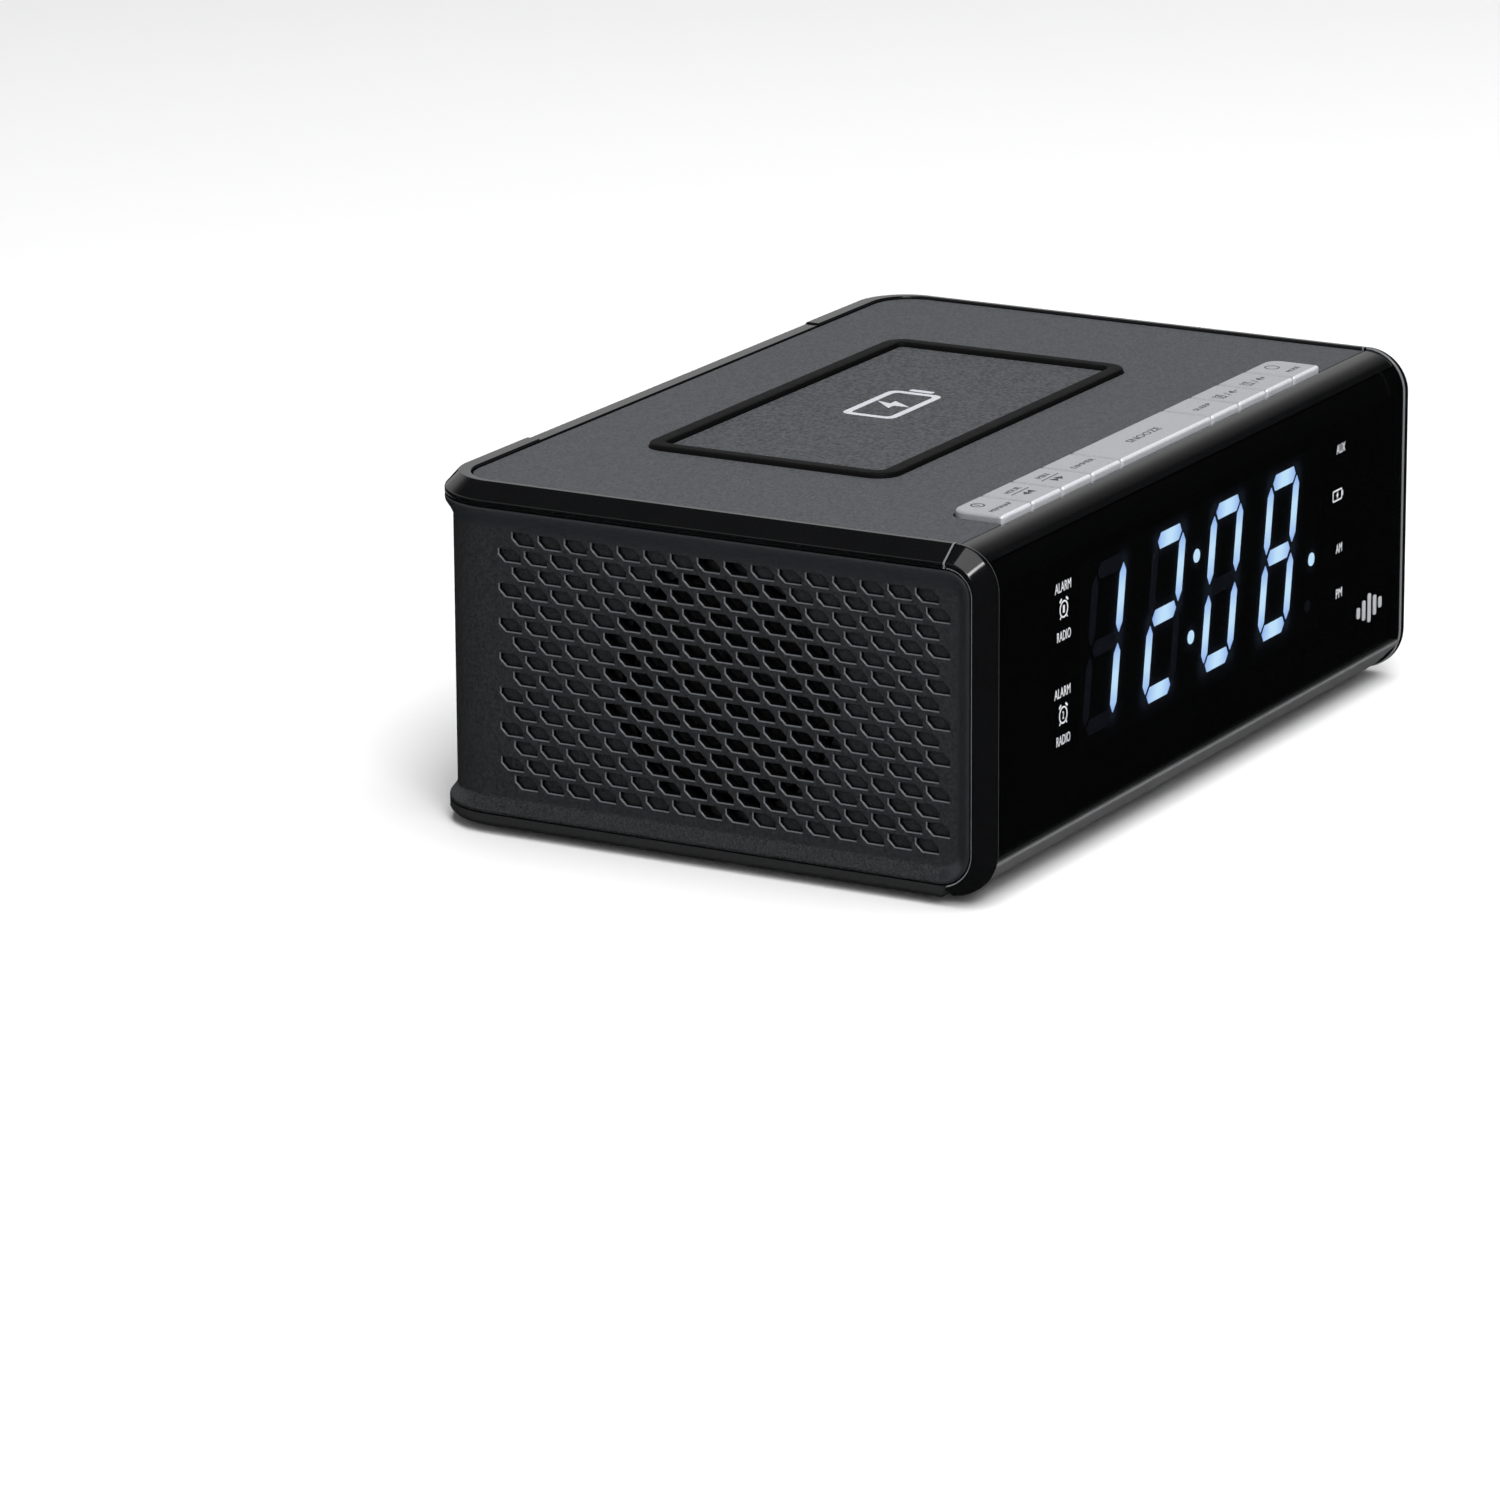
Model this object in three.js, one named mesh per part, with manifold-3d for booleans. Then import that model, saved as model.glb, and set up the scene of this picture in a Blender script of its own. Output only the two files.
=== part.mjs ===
// Bedside clock radio with a wireless charging pad on its lid.
// Millimetres. X runs across the front, Y from the front to the back, Z up.
// The origin is on the table, under the middle of the case.

import * as THREE from 'three';
import { mergeVertices } from 'three/addons/utils/BufferGeometryUtils.js';
import Module from 'manifold-3d';

const manifold = await Module();
manifold.setup();

// ---- Driving dimensions ----

const WIDTH = 180;
const DEPTH = 118;
const CASE_HEIGHT = 64.8;
const FOOT_HEIGHT = 1.5;
const GAP = 0.3;

const REAR_CORNER_RADIUS = 13.5;
const TOP_FRONT_RADIUS = 8.3;
const BOTTOM_FRONT_RADIUS = 8.7;
const CHEEK_CHAMFER = 2.65;
const RIM_CHAMFER_WIDTH = 3.7;
const RIM_CHAMFER_DROP = 2.65;
const RIM_WIDTH = 4.9;
const RIM_LEDGE_WIDTH = 7.4;
const BEZEL_LENGTH = 8.4;
const LENS_INSET = 4.4;
const LENS_THICKNESS = 1.3;
const LENS_TOP_ANGLE = THREE.MathUtils.degToRad(40);
const CHIN_HEIGHT = 6.3;
const CHIN_DEPTH = 5.3;

const SIDE_PANEL_INSET = 1.5;
const SIDE_PANEL_WALL = 2.2;
const SIDE_PANEL_FRONT = 3.8;
const SIDE_PANEL_BOTTOM = 2.7;
const SIDE_PANEL_TOP = 60.7;
const REAR_SEAM = 54;

const PANEL_DROP = 0.5;
const PANEL_THICKNESS = 2;
const BOTTOM_THICKNESS = 2.4;
const BOTTOM_CHAMFER = 1;

const KEY_PROUD = 1.2;
const KEY_ROW_DEPTH = 11.1;
const KEY_TRAVEL = 0.8;
const STEM_SETBACK = 7.4;
const SWITCH_HEIGHT = 2.8;
const KEY_EDGES = [-68, -56, -44.1, -32.1, -20.2, 17.7, 29.6, 41.5, 53.5, 65.4];
const KEY_NAMES = [
  'power_key',
  'hour_key',
  'minute_key',
  'dimmer_key',
  'snooze_key',
  'sleep_key',
  'alarm_one_key',
  'alarm_two_key',
  'mode_key',
];

const PAD_CENTRE = new THREE.Vector2(-0.3, 8.7);
const PAD_WIDTH = 99.2;
const PAD_DEPTH = 52.3;
const PAD_CORNER_RADIUS = 4.5;
const PAD_RING_WIDTH = 3.2;
const PAD_RING_PROUD = 0.9;
const PAD_GROOVE_DEPTH = 1;

const SPEAKER_Y = -4.2;
const SPEAKER_HEIGHT = 32;
const SPEAKER_OPENING_RADIUS = 24;
const SOUND_SLOT_COUNT = 7;
const SOUND_SLOT_HEIGHT = 2.4;
const SOUND_SLOT_PITCH = 6.57;

const BATTERY_BAY = { width: 52, depth: 26, y: -25, height: 13 };
const DOOR_THICKNESS = 1.5;
const CELL_RADIUS = 5.25;
const CELL_LENGTH = 44.5;
const CELL_SPACING = 11.2;

const BOARD_THICKNESS = 1.6;
const COIL_THICKNESS = 1.8;
const LED_DEPTH = 7.9;

// ---- Places that follow from them ----

const SIDE = WIDTH / 2;
const FRONT = -DEPTH / 2;
const BACK = DEPTH / 2;
const BASE = FOOT_HEIGHT;
const TOP = BASE + CASE_HEIGHT;
const BEZEL_BACK = FRONT + BEZEL_LENGTH;
const SEAM_TOP = BASE + SIDE_PANEL_TOP;
const SEAM_BOTTOM = BASE + SIDE_PANEL_BOTTOM;
const PANEL_TOP = TOP - PANEL_DROP;
const PANEL_UNDERSIDE = PANEL_TOP - PANEL_THICKNESS;
const INSIDE_FLOOR = BASE + BOTTOM_THICKNESS;
const KEY_TOP = PANEL_TOP + KEY_PROUD;
const KEY_FRONT = BEZEL_BACK + GAP;
const KEY_BACK = BEZEL_BACK + KEY_ROW_DEPTH;
const SPEAKER_Z = BASE + SPEAKER_HEIGHT;
const KEY_BOARD_Z = TOP - 13.3;
const SWITCH_TOP = KEY_BOARD_Z + BOARD_THICKNESS + SWITCH_HEIGHT;
const COIL_TOP = PANEL_UNDERSIDE - GAP;
const LED_FACE = FRONT + GAP + LENS_THICKNESS + 0.5;
const LED_BACK = LED_FACE + LED_DEPTH;
const MAIN_BOARD_TOP = INSIDE_FLOOR + 6;
const CELL_Z = INSIDE_FLOOR + GAP + 5.6;
const BAY_FRONT = BATTERY_BAY.y - BATTERY_BAY.depth / 2;
const BAY_BACK = BATTERY_BAY.y + BATTERY_BAY.depth / 2;
const FAR = 200;

const FEET = [[-62, -38], [62, -38], [-62, 42], [62, 42]];
const POSTS = [[-76, -38], [76, -38], [-72, 46], [72, 46]];
const POST_RADIUS = 3.5;
const SCREW_HOLE_RADIUS = 1.7;
const SCREW_RADIUS = 1.3;
const SCREW_HEAD_RADIUS = 2.7;

// ---- Finishes ----

const FINISHES = {
  glossBlack: { color: 0x0a0a0c, roughness: 0.15, metalness: 0 },
  lens: { color: 0x050508, roughness: 0.05, metalness: 0 },
  panelGrey: { color: 0x5f6064, roughness: 0.7, metalness: 0 },
  moulding: { color: 0x242428, roughness: 0.6, metalness: 0 },
  keySilver: { color: 0xb4b5ba, roughness: 0.35, metalness: 0.6 },
  rubber: { color: 0x141416, roughness: 0.85, metalness: 0 },
  board: { color: 0x1f5a38, roughness: 0.5, metalness: 0 },
  ledHousing: { color: 0x101014, roughness: 0.6, metalness: 0 },
  steel: { color: 0xa8aaad, roughness: 0.35, metalness: 1 },
  darkSteel: { color: 0x2a2a2d, roughness: 0.5, metalness: 0.8 },
  paper: { color: 0x1b1b1c, roughness: 0.9, metalness: 0 },
  copper: { color: 0xb36b3f, roughness: 0.35, metalness: 1 },
  ferrite: { color: 0x2e2d30, roughness: 0.8, metalness: 0 },
  cell: { color: 0x3f6f52, roughness: 0.4, metalness: 0.2 },
};

function piece(name, geometry, finish) {
  const mesh = new THREE.Mesh(geometry, new THREE.MeshStandardMaterial(FINISHES[finish]));
  mesh.name = name;
  return mesh;
}

// ---- Solids and their booleans ----

function solidOf(geometry) {
  const bare = geometry.clone();
  bare.deleteAttribute('normal');
  bare.deleteAttribute('uv');
  const merged = mergeVertices(bare, 1e-4);
  const index = merged.index.array;
  const triangles = [];
  for (let i = 0; i < index.length; i += 3) {
    const [a, b, c] = [index[i], index[i + 1], index[i + 2]];
    if (a !== b && b !== c && c !== a) triangles.push(a, b, c);
  }
  return new manifold.Manifold(new manifold.Mesh({
    numProp: 3,
    vertProperties: Float32Array.from(merged.attributes.position.array),
    triVerts: Uint32Array.from(triangles),
  }));
}

function geometryOf(solid) {
  const mesh = solid.getMesh();
  const geometry = new THREE.BufferGeometry();
  geometry.setAttribute('position', new THREE.BufferAttribute(mesh.vertProperties, 3));
  geometry.setIndex(new THREE.BufferAttribute(mesh.triVerts, 1));
  geometry.computeVertexNormals();
  return geometry;
}

function block(x, y, z) {
  const box = new THREE.BoxGeometry(x[1] - x[0], y[1] - y[0], z[1] - z[0]);
  box.translate((x[0] + x[1]) / 2, (y[0] + y[1]) / 2, (z[0] + z[1]) / 2);
  return solidOf(box);
}

// An outline in X and Y, raised from low to high, with its ends chamfered if asked.
function uprightPrism(shape, low, high, chamfer = null, curveSegments = 8) {
  const { width = 0, height = 0 } = chamfer ?? {};
  const geometry = new THREE.ExtrudeGeometry(shape, {
    depth: high - low - 2 * height,
    bevelEnabled: chamfer !== null,
    bevelSize: width,
    bevelOffset: -width,
    bevelThickness: height,
    bevelSegments: 1,
    curveSegments,
  });
  geometry.translate(0, 0, low + height);
  return solidOf(geometry);
}

// An outline in Y and Z, run across the case from x low to x high.
function crosswisePrism(shape, low, high, chamfer = 0, curveSegments = 8) {
  const geometry = new THREE.ExtrudeGeometry(shape, {
    depth: high - low - 2 * chamfer,
    bevelEnabled: chamfer > 0,
    bevelSize: chamfer,
    bevelOffset: -chamfer,
    bevelThickness: chamfer,
    bevelSegments: 1,
    curveSegments,
  });
  geometry.translate(0, 0, low + chamfer);
  const axes = new THREE.Matrix4().makeBasis(
    new THREE.Vector3(0, 1, 0),
    new THREE.Vector3(0, 0, 1),
    new THREE.Vector3(1, 0, 0),
  );
  geometry.applyMatrix4(axes);
  return solidOf(geometry);
}

function cylinder(axis, radius, low, high, centre, segments = 16) {
  const geometry = new THREE.CylinderGeometry(radius, radius, high - low, segments);
  const middle = (low + high) / 2;
  if (axis === 'x') {
    geometry.rotateZ(Math.PI / 2);
    geometry.translate(middle, centre[0], centre[1]);
  } else if (axis === 'y') {
    geometry.translate(centre[0], middle, centre[1]);
  } else {
    geometry.rotateX(Math.PI / 2);
    geometry.translate(centre[0], centre[1], middle);
  }
  return solidOf(geometry);
}

// A profile of [radius, height] points turned about Z.
function turned(profile, segments = 20) {
  const points = profile.map(([radius, height]) => new THREE.Vector2(radius, height));
  const geometry = new THREE.LatheGeometry(points, segments);
  geometry.rotateX(Math.PI / 2);
  return geometry;
}

// ---- Outlines ----

// The case seen from above, drawn in by inset: square at the front, round at the back.
function planOutline(inset, front = -FAR) {
  const x = SIDE - inset;
  const y = BACK - inset;
  const radius = REAR_CORNER_RADIUS - inset;
  const shape = new THREE.Shape();
  shape.moveTo(-x, front);
  shape.lineTo(x, front);
  shape.absarc(x - radius, y - radius, radius, 0, Math.PI / 2, false);
  shape.absarc(radius - x, y - radius, radius, Math.PI / 2, Math.PI, false);
  return shape;
}

function roundedRectangle(width, depth, radius, centre) {
  const x = width / 2 - radius;
  const y = depth / 2 - radius;
  const shape = new THREE.Shape();
  const corners = [[x, y, 0], [-x, y, 1], [-x, -y, 2], [x, -y, 3]];
  for (const [cx, cy, quarter] of corners) {
    const start = quarter * Math.PI / 2;
    shape.absarc(centre.x + cx, centre.y + cy, radius, start, start + Math.PI / 2, false);
  }
  return shape;
}

// The cheeks' section, seen from the side, open towards the back.
function cheekOutline() {
  const shape = new THREE.Shape();
  shape.moveTo(FAR, BASE);
  shape.lineTo(FAR, TOP);
  shape.absarc(
    FRONT + TOP_FRONT_RADIUS, TOP - TOP_FRONT_RADIUS, TOP_FRONT_RADIUS, Math.PI / 2, Math.PI, false,
  );
  shape.absarc(
    FRONT + BOTTOM_FRONT_RADIUS, BASE + BOTTOM_FRONT_RADIUS, BOTTOM_FRONT_RADIUS,
    Math.PI, 1.5 * Math.PI, false,
  );
  return shape;
}

// The bezel's section between the cheeks, where a sloped chin meets the base.
function chinOutline() {
  const shape = new THREE.Shape();
  const chinFoot = BASE + CHIN_HEIGHT - CHIN_DEPTH;
  shape.moveTo(FAR, chinFoot);
  shape.lineTo(FAR, TOP - GAP);
  shape.absarc(
    FRONT + TOP_FRONT_RADIUS, TOP - TOP_FRONT_RADIUS, TOP_FRONT_RADIUS - GAP,
    Math.PI / 2, Math.PI, false,
  );
  shape.lineTo(FRONT + GAP, BASE + CHIN_HEIGHT);
  shape.lineTo(FRONT + CHIN_DEPTH, chinFoot);
  return shape;
}

// The side panel seen from the side, grown all round by grow.
function sidePanelOutline(grow) {
  const front = FRONT + SIDE_PANEL_FRONT - grow;
  const low = SEAM_BOTTOM - grow;
  const high = SEAM_TOP + grow;
  const topRadius = 4.7 + grow;
  const bottomRadius = 6.2 + grow;
  const shape = new THREE.Shape();
  shape.moveTo(FAR, low);
  shape.lineTo(FAR, high);
  shape.absarc(front + topRadius, high - topRadius, topRadius, Math.PI / 2, Math.PI, false);
  shape.absarc(front + bottomRadius, low + bottomRadius, bottomRadius, Math.PI, 1.5 * Math.PI, false);
  return shape;
}

// A band that follows the face and rolls over its top edge, between two depths behind the face.
function faceBand(outer, inner, low, topAngle) {
  const y = FRONT + TOP_FRONT_RADIUS;
  const z = TOP - TOP_FRONT_RADIUS;
  const shape = new THREE.Shape();
  shape.moveTo(FRONT + outer, low);
  shape.lineTo(FRONT + outer, z);
  shape.absarc(y, z, TOP_FRONT_RADIUS - outer, Math.PI, Math.PI - topAngle, true);
  shape.absarc(y, z, TOP_FRONT_RADIUS - inner, Math.PI - topAngle, Math.PI, false);
  shape.lineTo(FRONT + inner, low);
  return shape;
}

// ---- Case ----

function frontBezel() {
  const lensHalf = SIDE - LENS_INSET;
  const behindCut = block([-FAR, FAR], [BEZEL_BACK, 2 * FAR], [-FAR, FAR]);
  const betweenCheeks = block([-lensHalf, lensHalf], [-FAR, FAR], [-FAR, FAR]);
  const cheeks = crosswisePrism(cheekOutline(), -SIDE, SIDE, CHEEK_CHAMFER).subtract(betweenCheeks);
  const bridge = crosswisePrism(chinOutline(), -lensHalf - 0.05, lensHalf + 0.05);
  const insideCut = crosswisePrism(sidePanelOutline(GAP), -FAR, FAR);
  const lensSeat = crosswisePrism(
    faceBand(-5, LENS_THICKNESS + 2 * GAP, BASE + CHIN_HEIGHT + GAP, LENS_TOP_ANGLE + 0.04),
    -lensHalf, lensHalf,
  );
  const window = block([-54, 54], [FRONT, FRONT + 6], [BASE + 14, BASE + 56]);
  return geometryOf(
    cheeks.add(bridge).subtract(behindCut).subtract(insideCut).subtract(lensSeat).subtract(window),
  );
}

function displayLens() {
  const half = SIDE - LENS_INSET - GAP;
  const band = faceBand(GAP, GAP + LENS_THICKNESS, BASE + CHIN_HEIGHT + 2 * GAP, LENS_TOP_ANGLE);
  return geometryOf(crosswisePrism(band, -half, half));
}

// The rolled edge of the case, from the side seam up to top.
function rimRing(top) {
  const chamfer = { width: RIM_CHAMFER_WIDTH, height: RIM_CHAMFER_DROP };
  const whole = uprightPrism(planOutline(0), SEAM_TOP - 20, top, chamfer);
  const lid = uprightPrism(planOutline(RIM_WIDTH, -2 * FAR), PANEL_UNDERSIDE - GAP, top + 5);
  const inside = uprightPrism(planOutline(RIM_LEDGE_WIDTH, -2 * FAR), -FAR, FAR);
  return whole.subtract(lid).subtract(inside);
}

function sideSpan(side, low, high) {
  return side < 0 ? [-high, -low] : [low, high];
}

function sideRim(side) {
  const span = block(
    sideSpan(side, REAR_SEAM + GAP / 2, FAR), [BEZEL_BACK + GAP, FAR], [SEAM_TOP + GAP, FAR],
  );
  return geometryOf(rimRing(TOP).intersect(span));
}

function soundSlots(side) {
  const across = sideSpan(side, SIDE - 10, SIDE + 10);
  const slots = [];
  for (let i = 0; i < SOUND_SLOT_COUNT; i += 1) {
    const rise = (i - (SOUND_SLOT_COUNT - 1) / 2) * SOUND_SLOT_PITCH;
    const half = Math.sqrt(SPEAKER_OPENING_RADIUS ** 2 - rise ** 2);
    const z = SPEAKER_Z + rise;
    slots.push(block(
      across,
      [SPEAKER_Y - half, SPEAKER_Y + half],
      [z - SOUND_SLOT_HEIGHT / 2, z + SOUND_SLOT_HEIGHT / 2],
    ));
  }
  return slots;
}

// The side panel with the grille: recessed all over, flared out to meet its seams.
function sidePanel(side) {
  const flare = { width: SIDE_PANEL_INSET, height: 3 };
  const field = uprightPrism(planOutline(SIDE_PANEL_INSET), SEAM_BOTTOM, SEAM_TOP);
  const lowFlare = uprightPrism(planOutline(0), SEAM_BOTTOM - 4, SEAM_BOTTOM + 3, flare);
  const highFlare = uprightPrism(planOutline(0), SEAM_TOP - 3, SEAM_TOP + 4, flare);
  const front = FRONT + SIDE_PANEL_FRONT;
  const inner = side * (SIDE - SIDE_PANEL_INSET - SIDE_PANEL_WALL);
  const frontFlare = new THREE.Shape();
  frontFlare.moveTo(inner, front);
  frontFlare.lineTo(side * SIDE, front);
  frontFlare.lineTo(side * SIDE, front + GAP);
  frontFlare.lineTo(side * (SIDE - SIDE_PANEL_INSET), front + 3);
  frontFlare.lineTo(inner, front + 3);
  const inside = uprightPrism(
    planOutline(SIDE_PANEL_INSET + SIDE_PANEL_WALL, -2 * FAR), -FAR, FAR,
  );
  const span = block(sideSpan(side, REAR_SEAM + GAP / 2, FAR), [front, FAR], [SEAM_BOTTOM, SEAM_TOP]);
  let panel = field.add(lowFlare).add(highFlare);
  panel = panel.add(uprightPrism(frontFlare, SEAM_BOTTOM, SEAM_TOP));
  panel = panel.intersect(span).intersect(crosswisePrism(sidePanelOutline(0), -FAR, FAR));
  panel = panel.subtract(inside);
  for (const slot of soundSlots(side)) panel = panel.subtract(slot);
  return geometryOf(panel);
}

const SOCKETS = {
  usb: { x: -32, z: 16, width: 13.2, height: 5.8, depth: 14 },
  aux: { x: -12, z: 16, radius: 3.6, hole: 1.8, depth: 12 },
  gland: { x: 8, z: 16, radius: 2.4, depth: 8 },
  power: { x: 32, z: 16, radius: 4.6, hole: 2.9, pin: 0.9, depth: 12 },
};

function rearCover() {
  const half = REAR_SEAM - GAP / 2;
  const wallBack = BACK - SIDE_PANEL_INSET;
  const wallFront = wallBack - SIDE_PANEL_WALL;
  const span = block([-half, half], [0, FAR], [SEAM_TOP - 2, FAR]);
  const wall = block([-half, half], [wallFront, wallBack], [SEAM_BOTTOM, SEAM_TOP]);
  let cover = rimRing(TOP - GAP).intersect(span).add(wall);
  const { usb, aux, gland, power } = SOCKETS;
  cover = cover.subtract(block(
    [usb.x - usb.width / 2 - GAP, usb.x + usb.width / 2 + GAP],
    [0, FAR],
    [usb.z - usb.height / 2 - GAP, usb.z + usb.height / 2 + GAP],
  ));
  for (const { x, z, radius } of [aux, gland, power]) {
    cover = cover.subtract(cylinder('y', radius + GAP, 0, FAR, [x, z]));
  }
  return geometryOf(cover);
}

function topPanel() {
  const inset = RIM_WIDTH + GAP;
  let panel = uprightPrism(planOutline(inset, BEZEL_BACK + GAP), PANEL_UNDERSIDE, PANEL_TOP);
  const keyRow = block(
    [KEY_EDGES[0] - GAP, KEY_EDGES[KEY_EDGES.length - 1] + GAP],
    [-FAR, KEY_BACK + GAP],
    [0, FAR],
  );
  panel = panel.subtract(keyRow);
  const grooveTop = PANEL_TOP + 1;
  const grooveFloor = PANEL_TOP - PAD_GROOVE_DEPTH;
  const outer = roundedRectangle(
    PAD_WIDTH + 2 * GAP, PAD_DEPTH + 2 * GAP, PAD_CORNER_RADIUS + GAP, PAD_CENTRE,
  );
  const inner = roundedRectangle(
    PAD_WIDTH - 2 * PAD_RING_WIDTH - 2 * GAP,
    PAD_DEPTH - 2 * PAD_RING_WIDTH - 2 * GAP,
    PAD_CORNER_RADIUS - PAD_RING_WIDTH + GAP,
    PAD_CENTRE,
  );
  const groove = uprightPrism(outer, grooveFloor, grooveTop, null, 4)
    .subtract(uprightPrism(inner, grooveFloor - 1, grooveTop + 1, null, 4));
  panel = panel.subtract(groove);
  for (const post of POSTS) {
    const postFoot = INSIDE_FLOOR + GAP;
    panel = panel.add(cylinder('z', POST_RADIUS, postFoot, PANEL_UNDERSIDE + 0.5, post));
    panel = panel.subtract(cylinder('z', SCREW_HOLE_RADIUS, 0, postFoot + 12, post, 12));
  }
  return geometryOf(panel);
}

function padRing() {
  const outer = roundedRectangle(PAD_WIDTH, PAD_DEPTH, PAD_CORNER_RADIUS, PAD_CENTRE);
  const inner = roundedRectangle(
    PAD_WIDTH - 2 * PAD_RING_WIDTH,
    PAD_DEPTH - 2 * PAD_RING_WIDTH,
    PAD_CORNER_RADIUS - PAD_RING_WIDTH,
    PAD_CENTRE,
  );
  const low = PANEL_TOP - PAD_GROOVE_DEPTH + GAP;
  const high = PANEL_TOP + PAD_RING_PROUD;
  const edge = { width: 0.4, height: 0.4 };
  const ring = uprightPrism(outer, low, high, edge, 4)
    .subtract(uprightPrism(inner, low - 1, high + 1, null, 4));
  return geometryOf(ring);
}

function bottomCover() {
  const chamfer = { width: BOTTOM_CHAMFER, height: BOTTOM_CHAMFER };
  const span = block([-FAR, FAR], [BEZEL_BACK + GAP, FAR], [0, INSIDE_FLOOR]);
  let cover = uprightPrism(planOutline(0), BASE, INSIDE_FLOOR + 4, chamfer).intersect(span);
  const doorway = BATTERY_BAY.width / 2;
  cover = cover.subtract(block([-doorway, doorway], [BAY_FRONT - 0.4, BAY_BACK], [0, 20]));
  const pivot = [BAY_FRONT + 0.8, BASE + DOOR_THICKNESS / 2];
  cover = cover.subtract(cylinder('x', 1, -doorway - 1.8, doorway + 1.8, pivot, 12));
  for (const post of POSTS) {
    cover = cover.subtract(cylinder('z', SCREW_HOLE_RADIUS, 0, 20, post, 12));
    cover = cover.subtract(cylinder('z', SCREW_HEAD_RADIUS + GAP, 0, BASE + 1.5, post));
  }
  for (const foot of FEET) {
    cover = cover.subtract(cylinder('z', 6.3, 0, BASE + 0.5, foot, 20));
  }
  for (let i = 0; i < 6; i += 1) {
    const x = -30 + 12 * i;
    cover = cover.subtract(block([x - 1, x + 1], [18, 36], [0, 20]));
  }
  return geometryOf(cover);
}

function foot() {
  return turned([[0, 0], [5.2, 0], [6, 0.5], [6, FOOT_HEIGHT + 0.2], [0, FOOT_HEIGHT + 0.2]]);
}

function screw() {
  const headTop = 1.2;
  return turned([
    [0, 0.4], [0.9, 0.4], [1.1, 0], [SCREW_HEAD_RADIUS, 0], [SCREW_HEAD_RADIUS, headTop],
    [SCREW_RADIUS, headTop], [SCREW_RADIUS, 11], [0, 12.2],
  ], 12);
}

// ---- Keys ----

// One key: a chamfered cap, a lip that stops it under the lid, and a stem over its switch.
function key(width) {
  const depth = KEY_BACK - KEY_FRONT;
  const half = width / 2 - GAP / 2;
  const low = TOP - 4.4;
  const outline = roundedRectangle(2 * half, depth, 1.2, new THREE.Vector2(0, depth / 2));
  const edge = { width: 0.8, height: 0.8 };
  const above = block([-FAR, FAR], [-FAR, FAR], [low, FAR]);
  const cap = uprightPrism(outline, low - 4, KEY_TOP, edge, 2).intersect(above);
  const lip = block([1 - half, half - 1], [depth - 2, depth + 1.3], [low, PANEL_UNDERSIDE - GAP]);
  const stem = cylinder('z', 1.5, SWITCH_TOP + KEY_TRAVEL + GAP, low + 0.5, [0, STEM_SETBACK], 8);
  return geometryOf(cap.add(lip).add(stem));
}

function keyBoard() {
  const y = KEY_FRONT + STEM_SETBACK;
  const z = KEY_BOARD_Z + BOARD_THICKNESS;
  let board = block([-71, 69], [y - 3.6, y + 4.4], [KEY_BOARD_Z, z]);
  for (let i = 0; i < KEY_NAMES.length; i += 1) {
    const x = (KEY_EDGES[i] + KEY_EDGES[i + 1]) / 2;
    board = board.add(block([x - 3, x + 3], [y - 3, y + 3], [z - 0.5, SWITCH_TOP - 0.8]));
    board = board.add(cylinder('z', 1.7, z, SWITCH_TOP, [x, y], 8));
  }
  return geometryOf(board);
}

// ---- Display ----

function ledModule() {
  return geometryOf(block([-51.5, 51.5], [LED_FACE, LED_BACK], [BASE + 16.5, BASE + 54.5]));
}

function displayBoard() {
  const front = LED_BACK + GAP;
  const plate = block([-80, 80], [front, front + BOARD_THICKNESS], [BASE + 8, BASE + 58]);
  const chip = block([-8, 8], [front + 1, front + 3.6], [BASE + 20, BASE + 28]);
  const header = block([40, 62], [front + 1, front + 7], [BASE + 12, BASE + 17]);
  return geometryOf(plate.add(chip).add(header));
}

// ---- Speakers: turned about Z with the mouth up, then laid on their side ----

function speakerBasket() {
  return turned([
    [4.5, -15.2], [12.5, -15.2], [23, -2.6], [25.6, -1.5], [25.6, 0],
    [22.4, 0], [22.2, -1.6], [11.6, -14], [4.5, -14], [4.5, -15.2],
  ]);
}

function speakerCone() {
  return turned([
    [0, -10.2], [5.6, -10.2], [18, -3.4], [20.6, -3.2], [20.8, -1.4],
    [18.6, -1.2], [6.4, -8.4], [5.4, -6.6], [3, -5.4], [0, -5],
  ]);
}

function speakerMagnet() {
  return turned([[0, -22], [10.5, -22], [11.2, -21.3], [11.2, -15.6], [0, -15.6]]);
}

function speaker(side) {
  const name = side < 0 ? 'left' : 'right';
  const group = new THREE.Group();
  group.add(piece(`speaker_basket_${name}`, speakerBasket(), 'darkSteel'));
  group.add(piece(`speaker_cone_${name}`, speakerCone(), 'paper'));
  group.add(piece(`speaker_magnet_${name}`, speakerMagnet(), 'ferrite'));
  group.position.set(side * (SIDE - SIDE_PANEL_INSET - SIDE_PANEL_WALL - GAP), SPEAKER_Y, SPEAKER_Z);
  group.rotation.y = side * Math.PI / 2;
  return group;
}

// ---- Charger under the lid ----

function chargingCoil() {
  const foot = -COIL_THICKNESS;
  return turned([[10, foot], [21.6, foot], [22, foot + 0.4], [22, -0.4], [21.6, 0], [10, 0], [10, foot]]);
}

function ferriteSheet() {
  const high = COIL_TOP - COIL_THICKNESS - GAP;
  const outline = roundedRectangle(48, 48, 3, PAD_CENTRE);
  return geometryOf(uprightPrism(outline, high - 1, high, null, 3));
}

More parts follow.
